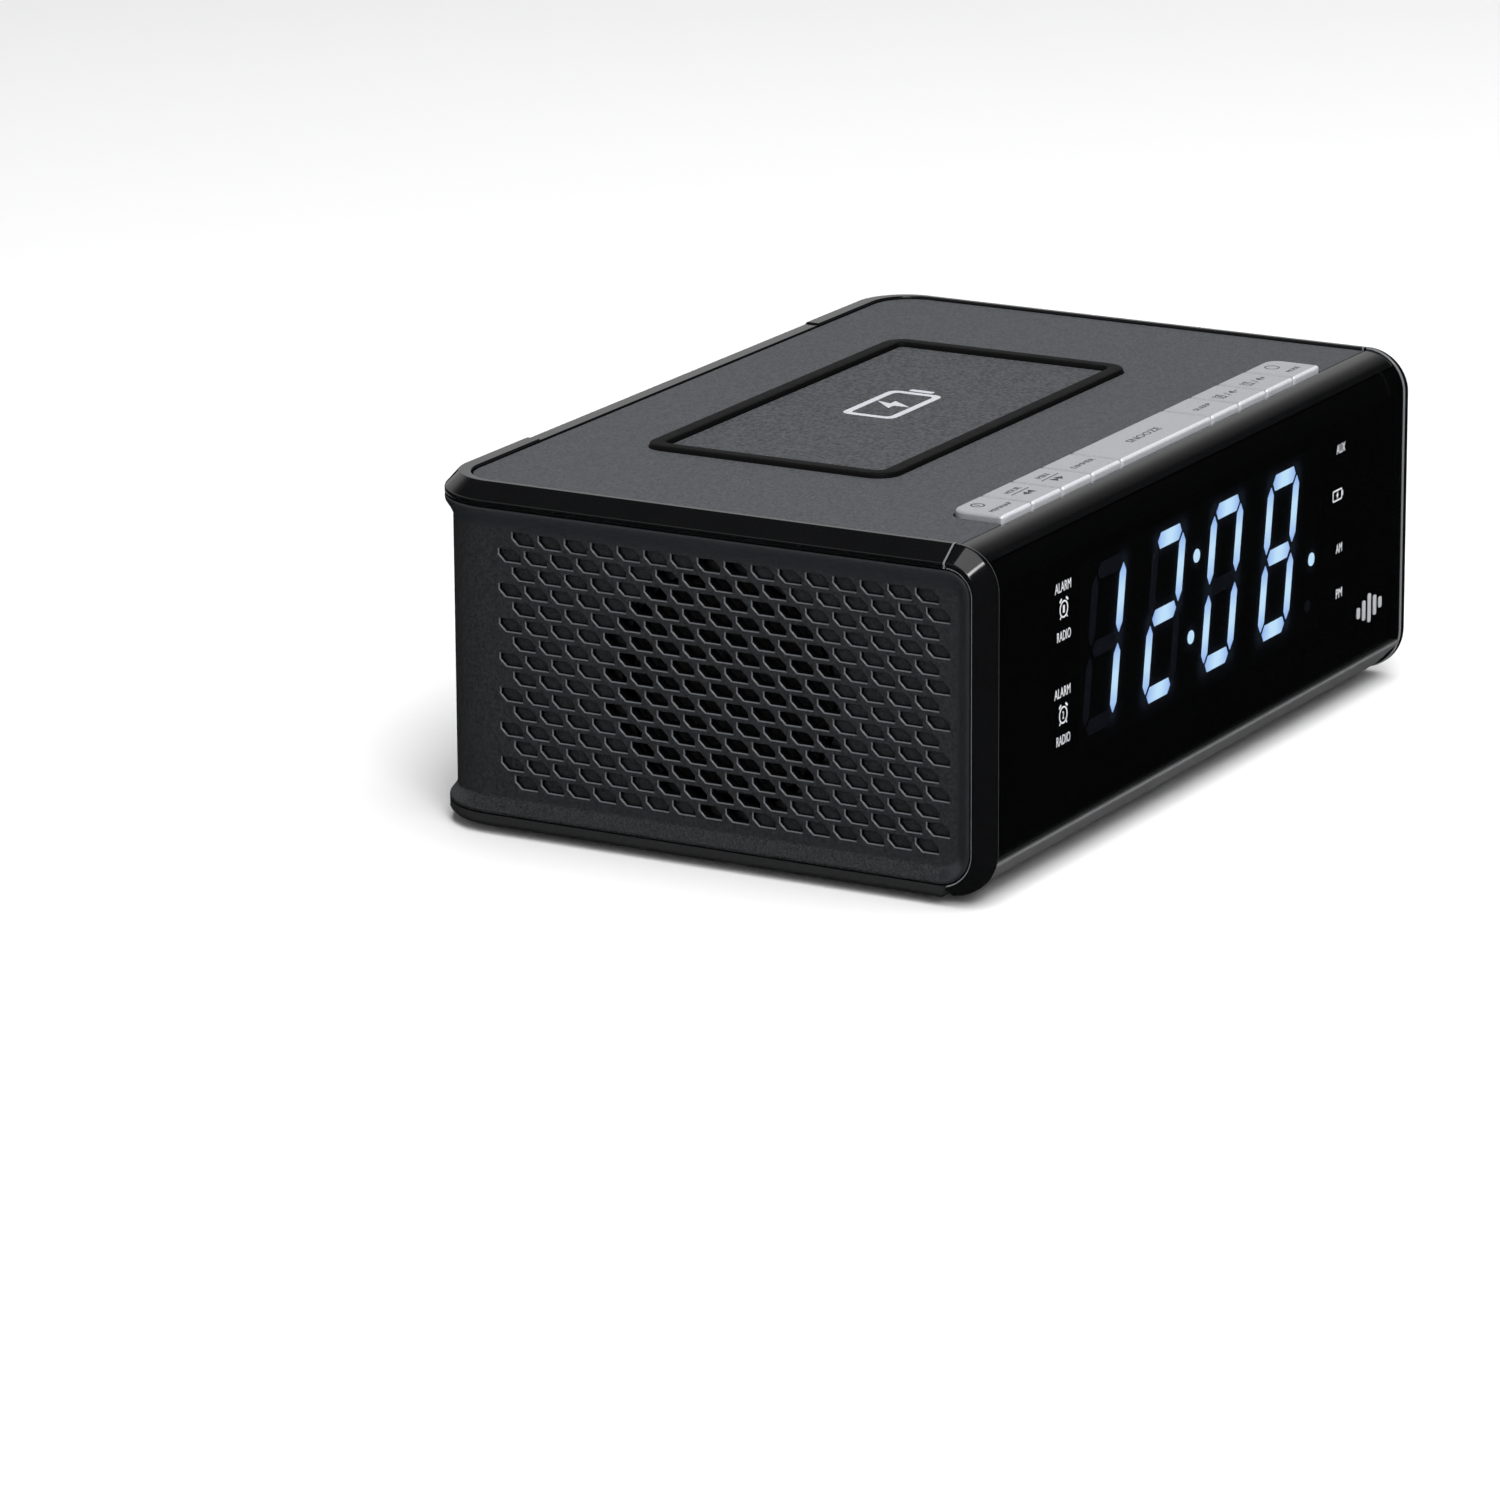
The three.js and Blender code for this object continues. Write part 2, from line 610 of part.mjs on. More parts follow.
function chargerBoard() {
  const high = COIL_TOP - COIL_THICKNESS - 1 - 2 * GAP;
  const low = high - BOARD_THICKNESS;
  const { x, y } = PAD_CENTRE;
  const plate = block([x - 30, x + 30], [y - 20, y + 20], [low, high]);
  const inductor = block([x - 24, x - 14], [y - 12, y - 2], [low - 5, low + 0.5]);
  const driver = block([x + 4, x + 11], [y - 4, y + 3], [low - 1, low + 0.5]);
  return geometryOf(plate.add(inductor).add(driver));
}

// ---- Main board, aerial and sockets ----

function mainBoard() {
  const low = MAIN_BOARD_TOP - BOARD_THICKNESS;
  let board = block([-46, 46], [-6, 46], [low, MAIN_BOARD_TOP]);
  const parts = [
    { x: [-6, 6], y: [8, 20], height: 1.6 },
    { x: [-30, -20], y: [0, 8], height: 3 },
    { x: [14, 32], y: [2, 6], height: 14 },
    { x: [-38, -26], y: [14, 22], height: 2 },
  ];
  for (const { x, y, height } of parts) {
    board = board.add(block(x, y, [low + 1, MAIN_BOARD_TOP + height]));
  }
  for (const x of [20, 32]) {
    board = board.add(cylinder('z', 4, low + 1, MAIN_BOARD_TOP + 12, [x, 18], 16));
  }
  return geometryOf(board);
}

function ferriteRod() {
  return geometryOf(cylinder('x', 4, -32, 32, [46, BASE + 46], 16));
}

function aerialCoil() {
  const geometry = turned([[4.4, -12], [6, -12], [6, 12], [4.4, 12], [4.4, -12]], 20);
  geometry.rotateY(Math.PI / 2);
  return geometry;
}

function usbSocket() {
  const { x, z, width, height, depth } = SOCKETS.usb;
  const mouth = BACK - SIDE_PANEL_INSET;
  const back = mouth - depth;
  const skin = 0.4;
  const shell = block([x - width / 2, x + width / 2], [back, mouth], [z - height / 2, z + height / 2]);
  const hollow = block(
    [x - width / 2 + skin, x + width / 2 - skin],
    [back + 2.2, mouth + 1],
    [z - height / 2 + skin, z + height / 2 - skin],
  );
  const tongue = block([x - 5.6, x + 5.6], [back + 1, mouth - 1.2], [z + 0.3, z + 2.1]);
  return geometryOf(shell.subtract(hollow).add(tongue));
}

function roundSocket({ x, z, radius, hole, pin = 0, depth }) {
  const mouth = BACK - SIDE_PANEL_INSET;
  const back = mouth - depth;
  let socket = cylinder('y', radius, back, mouth, [x, z]);
  socket = socket.subtract(cylinder('y', hole, back + 2, mouth + 1, [x, z]));
  if (pin > 0) socket = socket.add(cylinder('y', pin, back + 1, mouth - 1.5, [x, z], 10));
  return geometryOf(socket);
}

// ---- Backup battery ----

function batteryBay() {
  const wall = 1.5;
  const half = BATTERY_BAY.width / 2;
  const low = INSIDE_FLOOR + GAP;
  const high = low + BATTERY_BAY.height;
  const outer = block([-half - wall, half + wall], [BAY_FRONT - wall, BAY_BACK + wall], [low, high]);
  const inner = block([-half, half], [BAY_FRONT, BAY_BACK], [low - 1, high - wall]);
  return geometryOf(outer.subtract(inner));
}

function batteryDoor() {
  const half = BATTERY_BAY.width / 2 - GAP;
  const high = BASE + DOOR_THICKNESS;
  const pivot = [BAY_FRONT + 0.8, BASE + DOOR_THICKNESS / 2];
  const plate = block([-half, half], [BAY_FRONT + 0.5, BAY_BACK - GAP], [BASE, high]);
  const pins = cylinder('x', 0.65, -half - 1.6, half + 1.6, pivot, 12);
  const fingerNotch = block([-5, 5], [BAY_BACK - 3, BAY_BACK], [BASE - 1, BASE + 0.7]);
  return geometryOf(plate.add(pins).subtract(fingerNotch));
}

function backupCell() {
  const end = CELL_LENGTH / 2;
  const geometry = turned([
    [0, -end], [CELL_RADIUS, -end], [CELL_RADIUS, end - 1.2], [1.9, end - 0.9], [1.9, end], [0, end],
  ], 20);
  geometry.rotateY(Math.PI / 2);
  return geometry;
}

function batteryContact() {
  const plate = block([-0.3, 0.3], [-10, 10], [-4.2, 4.2]);
  const dimple = new THREE.SphereGeometry(1.6, 8, 6);
  dimple.translate(0, CELL_SPACING / 2, 0);
  const otherDimple = dimple.clone().translate(0, -CELL_SPACING, 0);
  return geometryOf(plate.add(solidOf(dimple)).add(solidOf(otherDimple)));
}

// ---- Assembly ----

function addCase(radio) {
  radio.add(piece('front_bezel', frontBezel(), 'glossBlack'));
  radio.add(piece('display_lens', displayLens(), 'lens'));
  radio.add(piece('top_panel', topPanel(), 'panelGrey'));
  radio.add(piece('pad_ring', padRing(), 'rubber'));
  radio.add(piece('side_rim_left', sideRim(-1), 'glossBlack'));
  radio.add(piece('side_rim_right', sideRim(1), 'glossBlack'));
  radio.add(piece('side_grille_left', sidePanel(-1), 'moulding'));
  radio.add(piece('side_grille_right', sidePanel(1), 'moulding'));
  radio.add(piece('rear_cover', rearCover(), 'moulding'));
  radio.add(piece('bottom_cover', bottomCover(), 'moulding'));
  const corners = ['front_left', 'front_right', 'rear_left', 'rear_right'];
  corners.forEach((corner, i) => {
    const rest = piece(`foot_${corner}`, foot(), 'rubber');
    rest.position.set(FEET[i][0], FEET[i][1], 0);
    const fastener = piece(`case_screw_${corner}`, screw(), 'steel');
    fastener.position.set(POSTS[i][0], POSTS[i][1], BASE);
    radio.add(rest, fastener);
  });
}

function addKeys(radio) {
  KEY_NAMES.forEach((name, i) => {
    const cap = piece(name, key(KEY_EDGES[i + 1] - KEY_EDGES[i]), 'keySilver');
    cap.position.set((KEY_EDGES[i] + KEY_EDGES[i + 1]) / 2, KEY_FRONT, 0);
    radio.add(cap);
  });
  radio.add(piece('key_board', keyBoard(), 'board'));
}

function addElectronics(radio) {
  radio.add(piece('led_module', ledModule(), 'ledHousing'));
  radio.add(piece('display_board', displayBoard(), 'board'));
  radio.add(speaker(-1), speaker(1));
  const coil = piece('charging_coil', chargingCoil(), 'copper');
  coil.position.set(PAD_CENTRE.x, PAD_CENTRE.y, COIL_TOP);
  radio.add(coil);
  radio.add(piece('ferrite_sheet', ferriteSheet(), 'ferrite'));
  radio.add(piece('charger_board', chargerBoard(), 'board'));
  radio.add(piece('main_board', mainBoard(), 'board'));
  radio.add(piece('am_ferrite_rod', ferriteRod(), 'ferrite'));
  const winding = piece('am_aerial_coil', aerialCoil(), 'copper');
  winding.position.set(0, 46, BASE + 46);
  radio.add(winding);
  radio.add(piece('usb_socket', usbSocket(), 'steel'));
  radio.add(piece('aux_socket', roundSocket(SOCKETS.aux), 'ledHousing'));
  radio.add(piece('fm_aerial_gland', roundSocket({ ...SOCKETS.gland, hole: 1 }), 'rubber'));
  radio.add(piece('power_socket', roundSocket(SOCKETS.power), 'ledHousing'));
}

function addBattery(radio) {
  radio.add(piece('battery_bay', batteryBay(), 'moulding'));
  radio.add(piece('battery_door', batteryDoor(), 'moulding'));
  for (const [name, side] of [['front', -1], ['rear', 1]]) {
    const cell = piece(`backup_cell_${name}`, backupCell(), 'cell');
    cell.position.set(0, BATTERY_BAY.y + side * CELL_SPACING / 2, CELL_Z);
    cell.rotation.z = side < 0 ? 0 : Math.PI;
    radio.add(cell);
  }
  for (const [name, side] of [['left', -1], ['right', 1]]) {
    const contact = piece(`battery_contact_${name}`, batteryContact(), 'steel');
    contact.position.set(side * (CELL_LENGTH / 2 + 2.2), BATTERY_BAY.y, CELL_Z);
    radio.add(contact);
  }
}

const clockRadio = new THREE.Group();
addCase(clockRadio);
addKeys(clockRadio);
addElectronics(clockRadio);
addBattery(clockRadio);

export default clockRadio;
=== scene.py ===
"""The looks of a bedside clock radio with a charging pad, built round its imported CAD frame."""

import math

import bmesh
import bpy
from mathutils import Matrix, Vector
from mathutils.geometry import delaunay_2d_cdt


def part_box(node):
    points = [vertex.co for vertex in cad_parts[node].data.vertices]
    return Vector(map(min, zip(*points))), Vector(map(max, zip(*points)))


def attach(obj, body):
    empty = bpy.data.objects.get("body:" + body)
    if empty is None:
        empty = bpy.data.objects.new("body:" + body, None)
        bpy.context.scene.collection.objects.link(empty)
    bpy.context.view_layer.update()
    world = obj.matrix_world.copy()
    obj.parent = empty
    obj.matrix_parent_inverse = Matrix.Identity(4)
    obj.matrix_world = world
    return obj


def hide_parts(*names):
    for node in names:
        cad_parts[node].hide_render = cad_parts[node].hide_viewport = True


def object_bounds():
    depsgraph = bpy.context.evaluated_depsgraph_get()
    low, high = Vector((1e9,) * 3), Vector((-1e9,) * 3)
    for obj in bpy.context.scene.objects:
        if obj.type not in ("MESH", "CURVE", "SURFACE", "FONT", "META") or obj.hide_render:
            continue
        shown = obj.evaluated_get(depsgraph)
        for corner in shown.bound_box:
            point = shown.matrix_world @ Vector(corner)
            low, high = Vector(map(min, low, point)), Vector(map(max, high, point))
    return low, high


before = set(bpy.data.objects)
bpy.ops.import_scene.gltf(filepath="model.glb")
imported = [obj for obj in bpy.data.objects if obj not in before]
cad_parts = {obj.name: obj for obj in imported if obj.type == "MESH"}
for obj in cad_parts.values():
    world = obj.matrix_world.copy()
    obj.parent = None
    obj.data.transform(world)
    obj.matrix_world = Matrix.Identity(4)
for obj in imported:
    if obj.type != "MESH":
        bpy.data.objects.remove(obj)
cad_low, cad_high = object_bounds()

MM = 0.001


def box_mm(node):
    low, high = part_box(node)
    return low / MM, high / MM


def round_mm(node):
    """The middle and the radius of a round piece that is as wide as it is across in X."""
    low, high = box_mm(node)
    return (low + high) / 2, (high.x - low.x) / 2


def middles(kind):
    """Where the four pieces of a kind stand, seen from above."""
    return [tuple(round_mm(f"{kind}_{corner}")[0][:2]) for corner in CORNERS]


# ---- Places taken from the frame, in millimetres ----

bezel_low, bezel_high = box_mm("front_bezel")
panel_high = box_mm("top_panel")[1]
grille_low, grille_high = box_mm("side_grille_right")
ring_low, ring_high = box_mm("pad_ring")
led_low, led_high = box_mm("led_module")
door_low, door_high = box_mm("battery_door")
bay_low, bay_high = box_mm("battery_bay")

CORNERS = ("front_left", "front_right", "rear_left", "rear_right")
POSTS = middles("case_screw")
FEET = middles("foot")

KEY_NAMES = [
    "power_key", "hour_key", "minute_key", "dimmer_key", "snooze_key",
    "sleep_key", "alarm_one_key", "alarm_two_key", "mode_key",
]
first_key_low, first_key_high = box_mm(KEY_NAMES[0])
KEYS_LEFT = first_key_low.x
KEYS_RIGHT = box_mm(KEY_NAMES[-1])[1].x
KEY_TOP = first_key_high.z
KEY_FRONT = first_key_low.y
KEY_BACK = KEY_FRONT + 10.8

GAP = 0.3
SIDE = bezel_high.x
FRONT = bezel_low.y
BACK = cad_high.y / MM
BASE = bezel_low.z
TOP = bezel_high.z
BEZEL_BACK = bezel_high.y
PANEL_TOP = panel_high.z
SEAM_TOP = grille_high.z
SEAM_BOTTOM = grille_low.z
PANEL_FRONT = grille_low.y
REAR_SEAM = box_mm("rear_cover")[1].x
PANEL_UNDERSIDE = PANEL_TOP - 2

REAR_RADIUS = 13.5
FRONT_CORNER = 1.3
TOP_RADIUS = 8.3
BOTTOM_RADIUS = 8.7
CHAMFER = 2.65
RIM_CHAMFER = 3.7
REAR_RIM_CHAMFER = 2.1
RIM_WIDTH = 4.9
RECESS = 1.5
WALL = 2.2
LENS_INSET = 4.4
LENS_THICKNESS = 1.3
LENS_TOP_ANGLE = 40
CHIN_HEIGHT = 6.3
CHIN_DEPTH = 5.3


# ---- Outlines ----

def arc(centre, radius, start, end, steps):
    """Points on a circle from one angle to another, in degrees."""
    angles = [math.radians(start + (end - start) * i / steps) for i in range(steps + 1)]
    return [(centre[0] + radius * math.cos(a), centre[1] + radius * math.sin(a)) for a in angles]


def rounded(corners, radii, steps=6):
    """A closed outline with each corner rounded to its radius."""
    points = []
    for i, (corner, radius) in enumerate(zip(corners, radii)):
        here = Vector(corner)
        if radius == 0:
            points.append(corner)
            continue
        back = (Vector(corners[i - 1]) - here).normalized()
        ahead = (Vector(corners[(i + 1) % len(corners)]) - here).normalized()
        half = back.angle(ahead) / 2
        centre = here + (back + ahead).normalized() * radius / math.sin(half)
        start = here + back * radius / math.tan(half) - centre
        end = here + ahead * radius / math.tan(half) - centre
        first = math.atan2(start.y, start.x)
        turn = math.atan2(start.cross(end), start.dot(end))
        points += arc(centre, radius, math.degrees(first), math.degrees(first + turn), steps)
    return points


def rectangle(x, y, radius=0.0, steps=6):
    corners = [(x[0], y[0]), (x[1], y[0]), (x[1], y[1]), (x[0], y[1])]
    return rounded(corners, [radius] * 4, steps)


def circle(centre, radius, steps=32):
    return arc(centre, radius, 0, 360, steps)[:-1]


def inset(outline, distance):
    """An anticlockwise outline moved inwards."""
    moved = []
    for i, point in enumerate(outline):
        before = Vector(point) - Vector(outline[i - 1])
        after = Vector(outline[(i + 1) % len(outline)]) - Vector(point)
        a = Vector((-before.y, before.x)).normalized()
        b = Vector((-after.y, after.x)).normalized()
        middle = (a + b).normalized()
        moved.append(tuple(Vector(point) + middle * distance / max(middle.dot(a), 0.3)))
    return moved


def area(outline):
    return sum(a[0] * b[1] - b[0] * a[1] for a, b in zip(outline, outline[1:] + outline[:1])) / 2


def anticlockwise(outline):
    return outline if area(outline) > 0 else outline[::-1]


# ---- Where a flat outline goes: along, up, and how high off the surface ----

def upright(a, b, c):
    return (a, b, c)


def crosswise(a, b, c):
    return (c, a, b)


def facing_front(a, b, c):
    return (a, -c, b)


def facing_back(a, b, c):
    return (a, c, b)


# ---- Meshes ----

class Shell:
    """Collects faces in millimetres and becomes one named piece."""

    def __init__(self):
        self.points = []
        self.faces = []
        self.marks = []
        self.glow = []
        self.mark = 0

    def add(self, points, faces, glow=None):
        start = len(self.points)
        self.points += [tuple(p) for p in points]
        self.glow += glow or [0.0] * len(points)
        self.faces += [tuple(start + i for i in face) for face in faces]
        self.marks += [self.mark] * len(faces)

    def loft(self, rows, ring=True, loop=False, caps=False):
        """Joins rows of equal length. A ring closes each row, and loop joins the last row to the first."""
        count = len(rows[0])
        faces = []
        for i in range(len(rows) if loop else len(rows) - 1):
            j = (i + 1) % len(rows)
            for k in range(count if ring else count - 1):
                m = (k + 1) % count
                faces.append((i * count + k, i * count + m, j * count + m, j * count + k))
        if caps:
            faces.append(tuple(range(count)))
            faces.append(tuple((len(rows) - 1) * count + k for k in range(count)))
        self.add([p for row in rows for p in row], faces)

    def sheet(self, outer, holes, place, height, extra=()):
        """A flat face with holes, and extra points inside it to bend along."""
        loops = [outer, *holes]
        points, edges = [], []
        for loop in loops:
            start = len(points)
            points += [Vector(p[:2]) for p in loop]
            edges += [(start + i, start + (i + 1) % len(loop)) for i in range(len(loop))]
        for line in extra:
            start = len(points)
            points += [Vector(p) for p in line]
            edges += [(start + i, start + i + 1) for i in range(len(line) - 1)]
        made = delaunay_2d_cdt(points, edges, [], 1, 1e-6)
        kept = [f for f in made[2] if not in_a_hole(made[0], f, holes)]
        self.add([place(p.x, p.y, height) for p in made[0]], kept)

    def prism(self, outline, low, high, place, edge=0.3, low_edge=None, holes=(), steps=3):
        """An outline raised from low to high, with rounded edges, and holes right through."""
        low_edge = edge if low_edge is None else low_edge
        for number, loop in enumerate([outline, *holes]):
            loop = anticlockwise(list(loop))
            side = 1 if number == 0 else -1
            rows = []
            for height, radius, up in ((low, low_edge, -1), (high, edge, 1)):
                turns = range(steps + 1) if radius > 0 else range(1)
                part = []
                for i in turns:
                    angle = math.pi / 2 * i / steps if radius > 0 else 0
                    shift = radius * (1 - math.cos(angle))
                    z = height - up * radius * (1 - math.sin(angle))
                    part.append([place(a, b, z) for a, b in inset(loop, side * shift)])
                rows += part[::-1] if up < 0 else part
            self.loft(rows)
        outer = anticlockwise(list(outline))
        inner = [anticlockwise(list(h)) for h in holes]
        for height, radius in ((low, low_edge), (high, edge)):
            self.sheet(inset(outer, radius), [inset(h, -radius) for h in inner], place, height)

    def lathe(self, profile, centre, axis="z", steps=40):
        """A closed profile of radius and height turned about an axis through centre."""
        rows = []
        for i in range(steps):
            a = 2 * math.pi * i / steps
            row = []
            for radius, height in profile:
                p, q = radius * math.cos(a), radius * math.sin(a)
                turned = {"x": (height, p, q), "y": (p, height, q), "z": (p, q, height)}[axis]
                row.append(tuple(centre[k] + turned[k] for k in range(3)))
            rows.append(row)
        self.loft(rows, loop=True)

    def build(self, name, materials, body="cabinet", stands_for=(), slot=None, sharp=38):
        mesh = bpy.data.meshes.new(name)
        mesh.from_pydata([Vector(p) * MM for p in self.points], [], self.faces)
        mesh.polygons.foreach_set("material_index", self.marks)
        if any(self.glow):
            mesh.attributes.new("glow", "FLOAT", "POINT").data.foreach_set("value", self.glow)
        tidy = bmesh.new()
        tidy.from_mesh(mesh)
        bmesh.ops.remove_doubles(tidy, verts=tidy.verts, dist=0.001 * MM)
        bmesh.ops.dissolve_degenerate(tidy, edges=tidy.edges, dist=0.001 * MM)
        bmesh.ops.recalc_face_normals(tidy, faces=tidy.faces)
        tidy.to_mesh(mesh)
        tidy.free()
        mesh.shade_smooth()
        mesh.set_sharp_from_angle(angle=math.radians(sharp))
        piece = bpy.data.objects.new(name, mesh)
        bpy.context.scene.collection.objects.link(piece)
        for finish in materials if isinstance(materials, (list, tuple)) else [materials]:
            mesh.materials.append(finish)
        weigh = piece.modifiers.new("even_shading", "WEIGHTED_NORMAL")
        weigh.keep_sharp = True
        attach(piece, body)
        if stands_for:
            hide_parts(*stands_for)
        return piece


def in_a_hole(points, face, holes):
    """Whether a triangle's middle lies inside one of the holes."""
    x = sum(points[i].x for i in face) / len(face)
    y = sum(points[i].y for i in face) / len(face)
    for hole in holes:
        if not min(p[0] for p in hole) < x < max(p[0] for p in hole):
            continue
        crossings = 0
        for a, b in zip(hole, hole[1:] + hole[:1]):
            if (a[1] > y) != (b[1] > y):
                crossings += x < a[0] + (y - a[1]) * (b[0] - a[0]) / (b[1] - a[1])
        if crossings % 2:
            return True
    return False


# ---- Materials ----

class Finish:
    """A material's node tree, built up by short steps."""

    def __init__(self, name, colour, roughness, **sockets):
        self.material = bpy.data.materials.new(name)
        self.material.use_nodes = True
        self.tree = self.material.node_tree
        self.shader = self.tree.nodes["Principled BSDF"]
        self.where = self.tree.nodes.new("ShaderNodeTexCoord").outputs["Object"]
        self.set("Base Color", (*colour, 1))
        self.set("Roughness", roughness)
        for socket, value in sockets.items():
            self.set(socket.replace("_", " "), value)

    def set(self, socket, value):
        self.shader.inputs[socket].default_value = value

    def noise(self, size, detail=2, stretch=(1, 1, 1)):
        """Noise whose grains are size millimetres across."""
        place = self.tree.nodes.new("ShaderNodeMapping")
        place.inputs["Scale"].default_value = [s / (size * MM) for s in stretch]
        node = self.tree.nodes.new("ShaderNodeTexNoise")
        node.inputs["Scale"].default_value = 1
        node.inputs["Detail"].default_value = detail
        self.tree.links.new(self.where, place.inputs["Vector"])
        self.tree.links.new(place.outputs["Vector"], node.inputs["Vector"])
        return node.outputs["Fac"]

    def between(self, value, low, high, start=0.3, end=0.7):
        """Noise turned into a number from low to high."""
        node = self.tree.nodes.new("ShaderNodeMapRange")
        node.inputs["From Min"].default_value = start
        node.inputs["From Max"].default_value = end
        node.inputs["To Min"].default_value = low
        node.inputs["To Max"].default_value = high
        self.tree.links.new(value, node.inputs["Value"])
        return node.outputs["Result"]

    def colour_by(self, value, dark, light, start=0.35, end=0.65, socket="Base Color"):
        ramp = self.tree.nodes.new("ShaderNodeValToRGB")
        ramp.color_ramp.elements[0].position = start
        ramp.color_ramp.elements[1].position = end
        ramp.color_ramp.elements[0].color = (*dark, 1)
        ramp.color_ramp.elements[1].color = (*light, 1)
        self.tree.links.new(value, ramp.inputs["Fac"])
        self.tree.links.new(ramp.outputs["Color"], self.shader.inputs[socket])

    def rough_by(self, value, low, high):
        self.tree.links.new(self.between(value, low, high), self.shader.inputs["Roughness"])

    def bump_by(self, value, height, strength=1.0):
        """Height in millimetres."""
        node = self.tree.nodes.new("ShaderNodeBump")
        node.inputs["Strength"].default_value = strength
        node.inputs["Distance"].default_value = height * MM
        self.tree.links.new(value, node.inputs["Height"])
        earlier = self.shader.inputs["Normal"].links
        if earlier:
            self.tree.links.new(earlier[0].from_socket, node.inputs["Normal"])
        self.tree.links.new(node.outputs["Normal"], self.shader.inputs["Normal"])


def grey(level, tint=0.0):
    """A linear grey, a little blue where tint is above zero."""
    return (level * (1 - tint), level, level * (1 + 2 * tint))


def plastic(name, colour, roughness, grain, depth, spread=0.12, **sockets):
    """Moulded plastic: fine spark grain, and a faint drift of tone and gloss."""
    finish = Finish(name, colour, roughness, **sockets)
    dark = tuple(c * (1 - spread) for c in colour)
    light = tuple(c * (1 + spread) for c in colour)
    fine = finish.noise(grain)
    finish.colour_by(fine, dark, light, 0.3, 0.7)
    finish.rough_by(finish.noise(grain * 6), roughness * 0.96, min(1, roughness * 1.04))
    finish.bump_by(fine, depth)
    return finish.material


GLOSS = plastic("gloss_black_plastic", grey(0.0035, 0.05), 0.07, 9, 0.002, 0.1, Coat_Weight=0.25,
                Coat_Roughness=0.03)
PANEL = plastic("lid_grain", grey(0.061, 0.04), 0.66, 0.5, 0.07, 0.3)
PAD = plastic("pad_grain", grey(0.057, 0.04), 0.72, 0.72, 0.1, 0.4)
MOULDING = plastic("case_spark_grain", grey(0.0165, 0.06), 0.48, 0.62, 0.1, 0.35)
STIPPLE = plastic("case_stipple", grey(0.017, 0.06), 0.42, 0.36, 0.16, 0.8)
SATIN = plastic("case_satin", grey(0.018, 0.08), 0.34, 0.8, 0.01, 0.08)
# A lighter grey for rounded gloss edges: a painted highlight, not a separate material.
GLOSS_PAINTED_HIGHLIGHT = plastic("gloss_black_painted_highlight", grey(0.16, 0.03), 0.2, 0.5, 0.002, 0.05)
# A lighter grey on the lower and rear hole chamfers: a painted highlight.
HOLE_PAINTED_HIGHLIGHT = plastic("grille_hole_painted_highlight", grey(0.1, 0.05), 0.3, 0.5, 0.01, 0.1)
# Near black on the hole walls: painted shade inside the recesses.
HOLE_WALL_PAINTED_SHADE = plastic("grille_hole_wall_painted_shade", grey(0.003, 0.0), 0.45, 0.5, 0.01, 0.1, Specular_IOR_Level=0.2)
MASK = plastic("lens_mask_ink", grey(0.0008, 0.0), 0.9, 0.5, 0.001, 0.1, Specular_IOR_Level=0.0)
UNDERSIDE = plastic("base_grain", grey(0.016, 0.03), 0.58, 0.6, 0.05, 0.14)
RUBBER = plastic("black_rubber", grey(0.0028, 0.02), 0.6, 0.5, 0.03, 0.15, Specular_IOR_Level=0.18)
FOOT = plastic("foot_rubber", grey(0.012, 0.0), 0.85, 0.4, 0.03, 0.15)
HOUSING = plastic("led_housing", grey(0.002, 0.05), 0.8, 0.6, 0.01, 0.1, Specular_IOR_Level=0.1)
SOCKET = plastic("socket_plastic", grey(0.008, 0.0), 0.45, 0.5, 0.01, 0.1)
LEGEND = plastic("key_legend_ink", grey(0.045, 0.04), 0.6, 0.3, 0.002, 0.1)
# Light-grey print ink, with a faint emission on top of it: a painted glow.
PRINT_WITH_PAINTED_GLOW = plastic("face_print_ink_painted_glow", grey(0.62, 0.02), 0.6, 0.3, 0.002, 0.05,
                Emission_Color=(0.75, 0.8, 0.85, 1), Emission_Strength=0.12)
PAD_PRINT = plastic("pad_print_ink", grey(0.52, 0.03), 0.5, 0.4, 0.01, 0.06)
# A lighter grey over the gloss black chin: a painted reflection of the pale floor.
CHIN_PAINTED_REFLECTION = plastic("chin_painted_floor_reflection", grey(0.15, 0.01), 0.3, 4, 0.002, 0.06)
BADGE = plastic("badge_silver", grey(0.55, 0.02), 0.3, 0.5, 0.004, 0.05, Metallic=0.2)


def lens_material():
    finish = Finish("tinted_lens", grey(0.0012, 0.1), 0.035, IOR=1.6, Alpha=0.7)
    finish.rough_by(finish.noise(25), 0.03, 0.045)
    return finish.material


def clear_material():
    """The lens's inner faces, which must not mirror the prints on its front."""
    finish = Finish("lens_inside", grey(0.002), 0.9, Alpha=0.02, Specular_IOR_Level=0.0)
    finish.rough_by(finish.noise(25), 0.88, 0.92)
    return finish.material


def silver_material(name="key_silver_paint", level=0.46):
    """Satin silver paint over plastic: a fine metal flake under a soft clear coat."""
    finish = Finish(name, grey(level, 0.02), 0.34, Metallic=0.3, Coat_Weight=0.15,
                    Coat_Roughness=0.2)
    flake = finish.noise(0.22)
    finish.colour_by(flake, grey(level * 0.78, 0.03), grey(level, 0.02), 0.3, 0.7)
    finish.rough_by(finish.noise(3), 0.34, 0.38)
    finish.bump_by(flake, 0.006)
    return finish.material


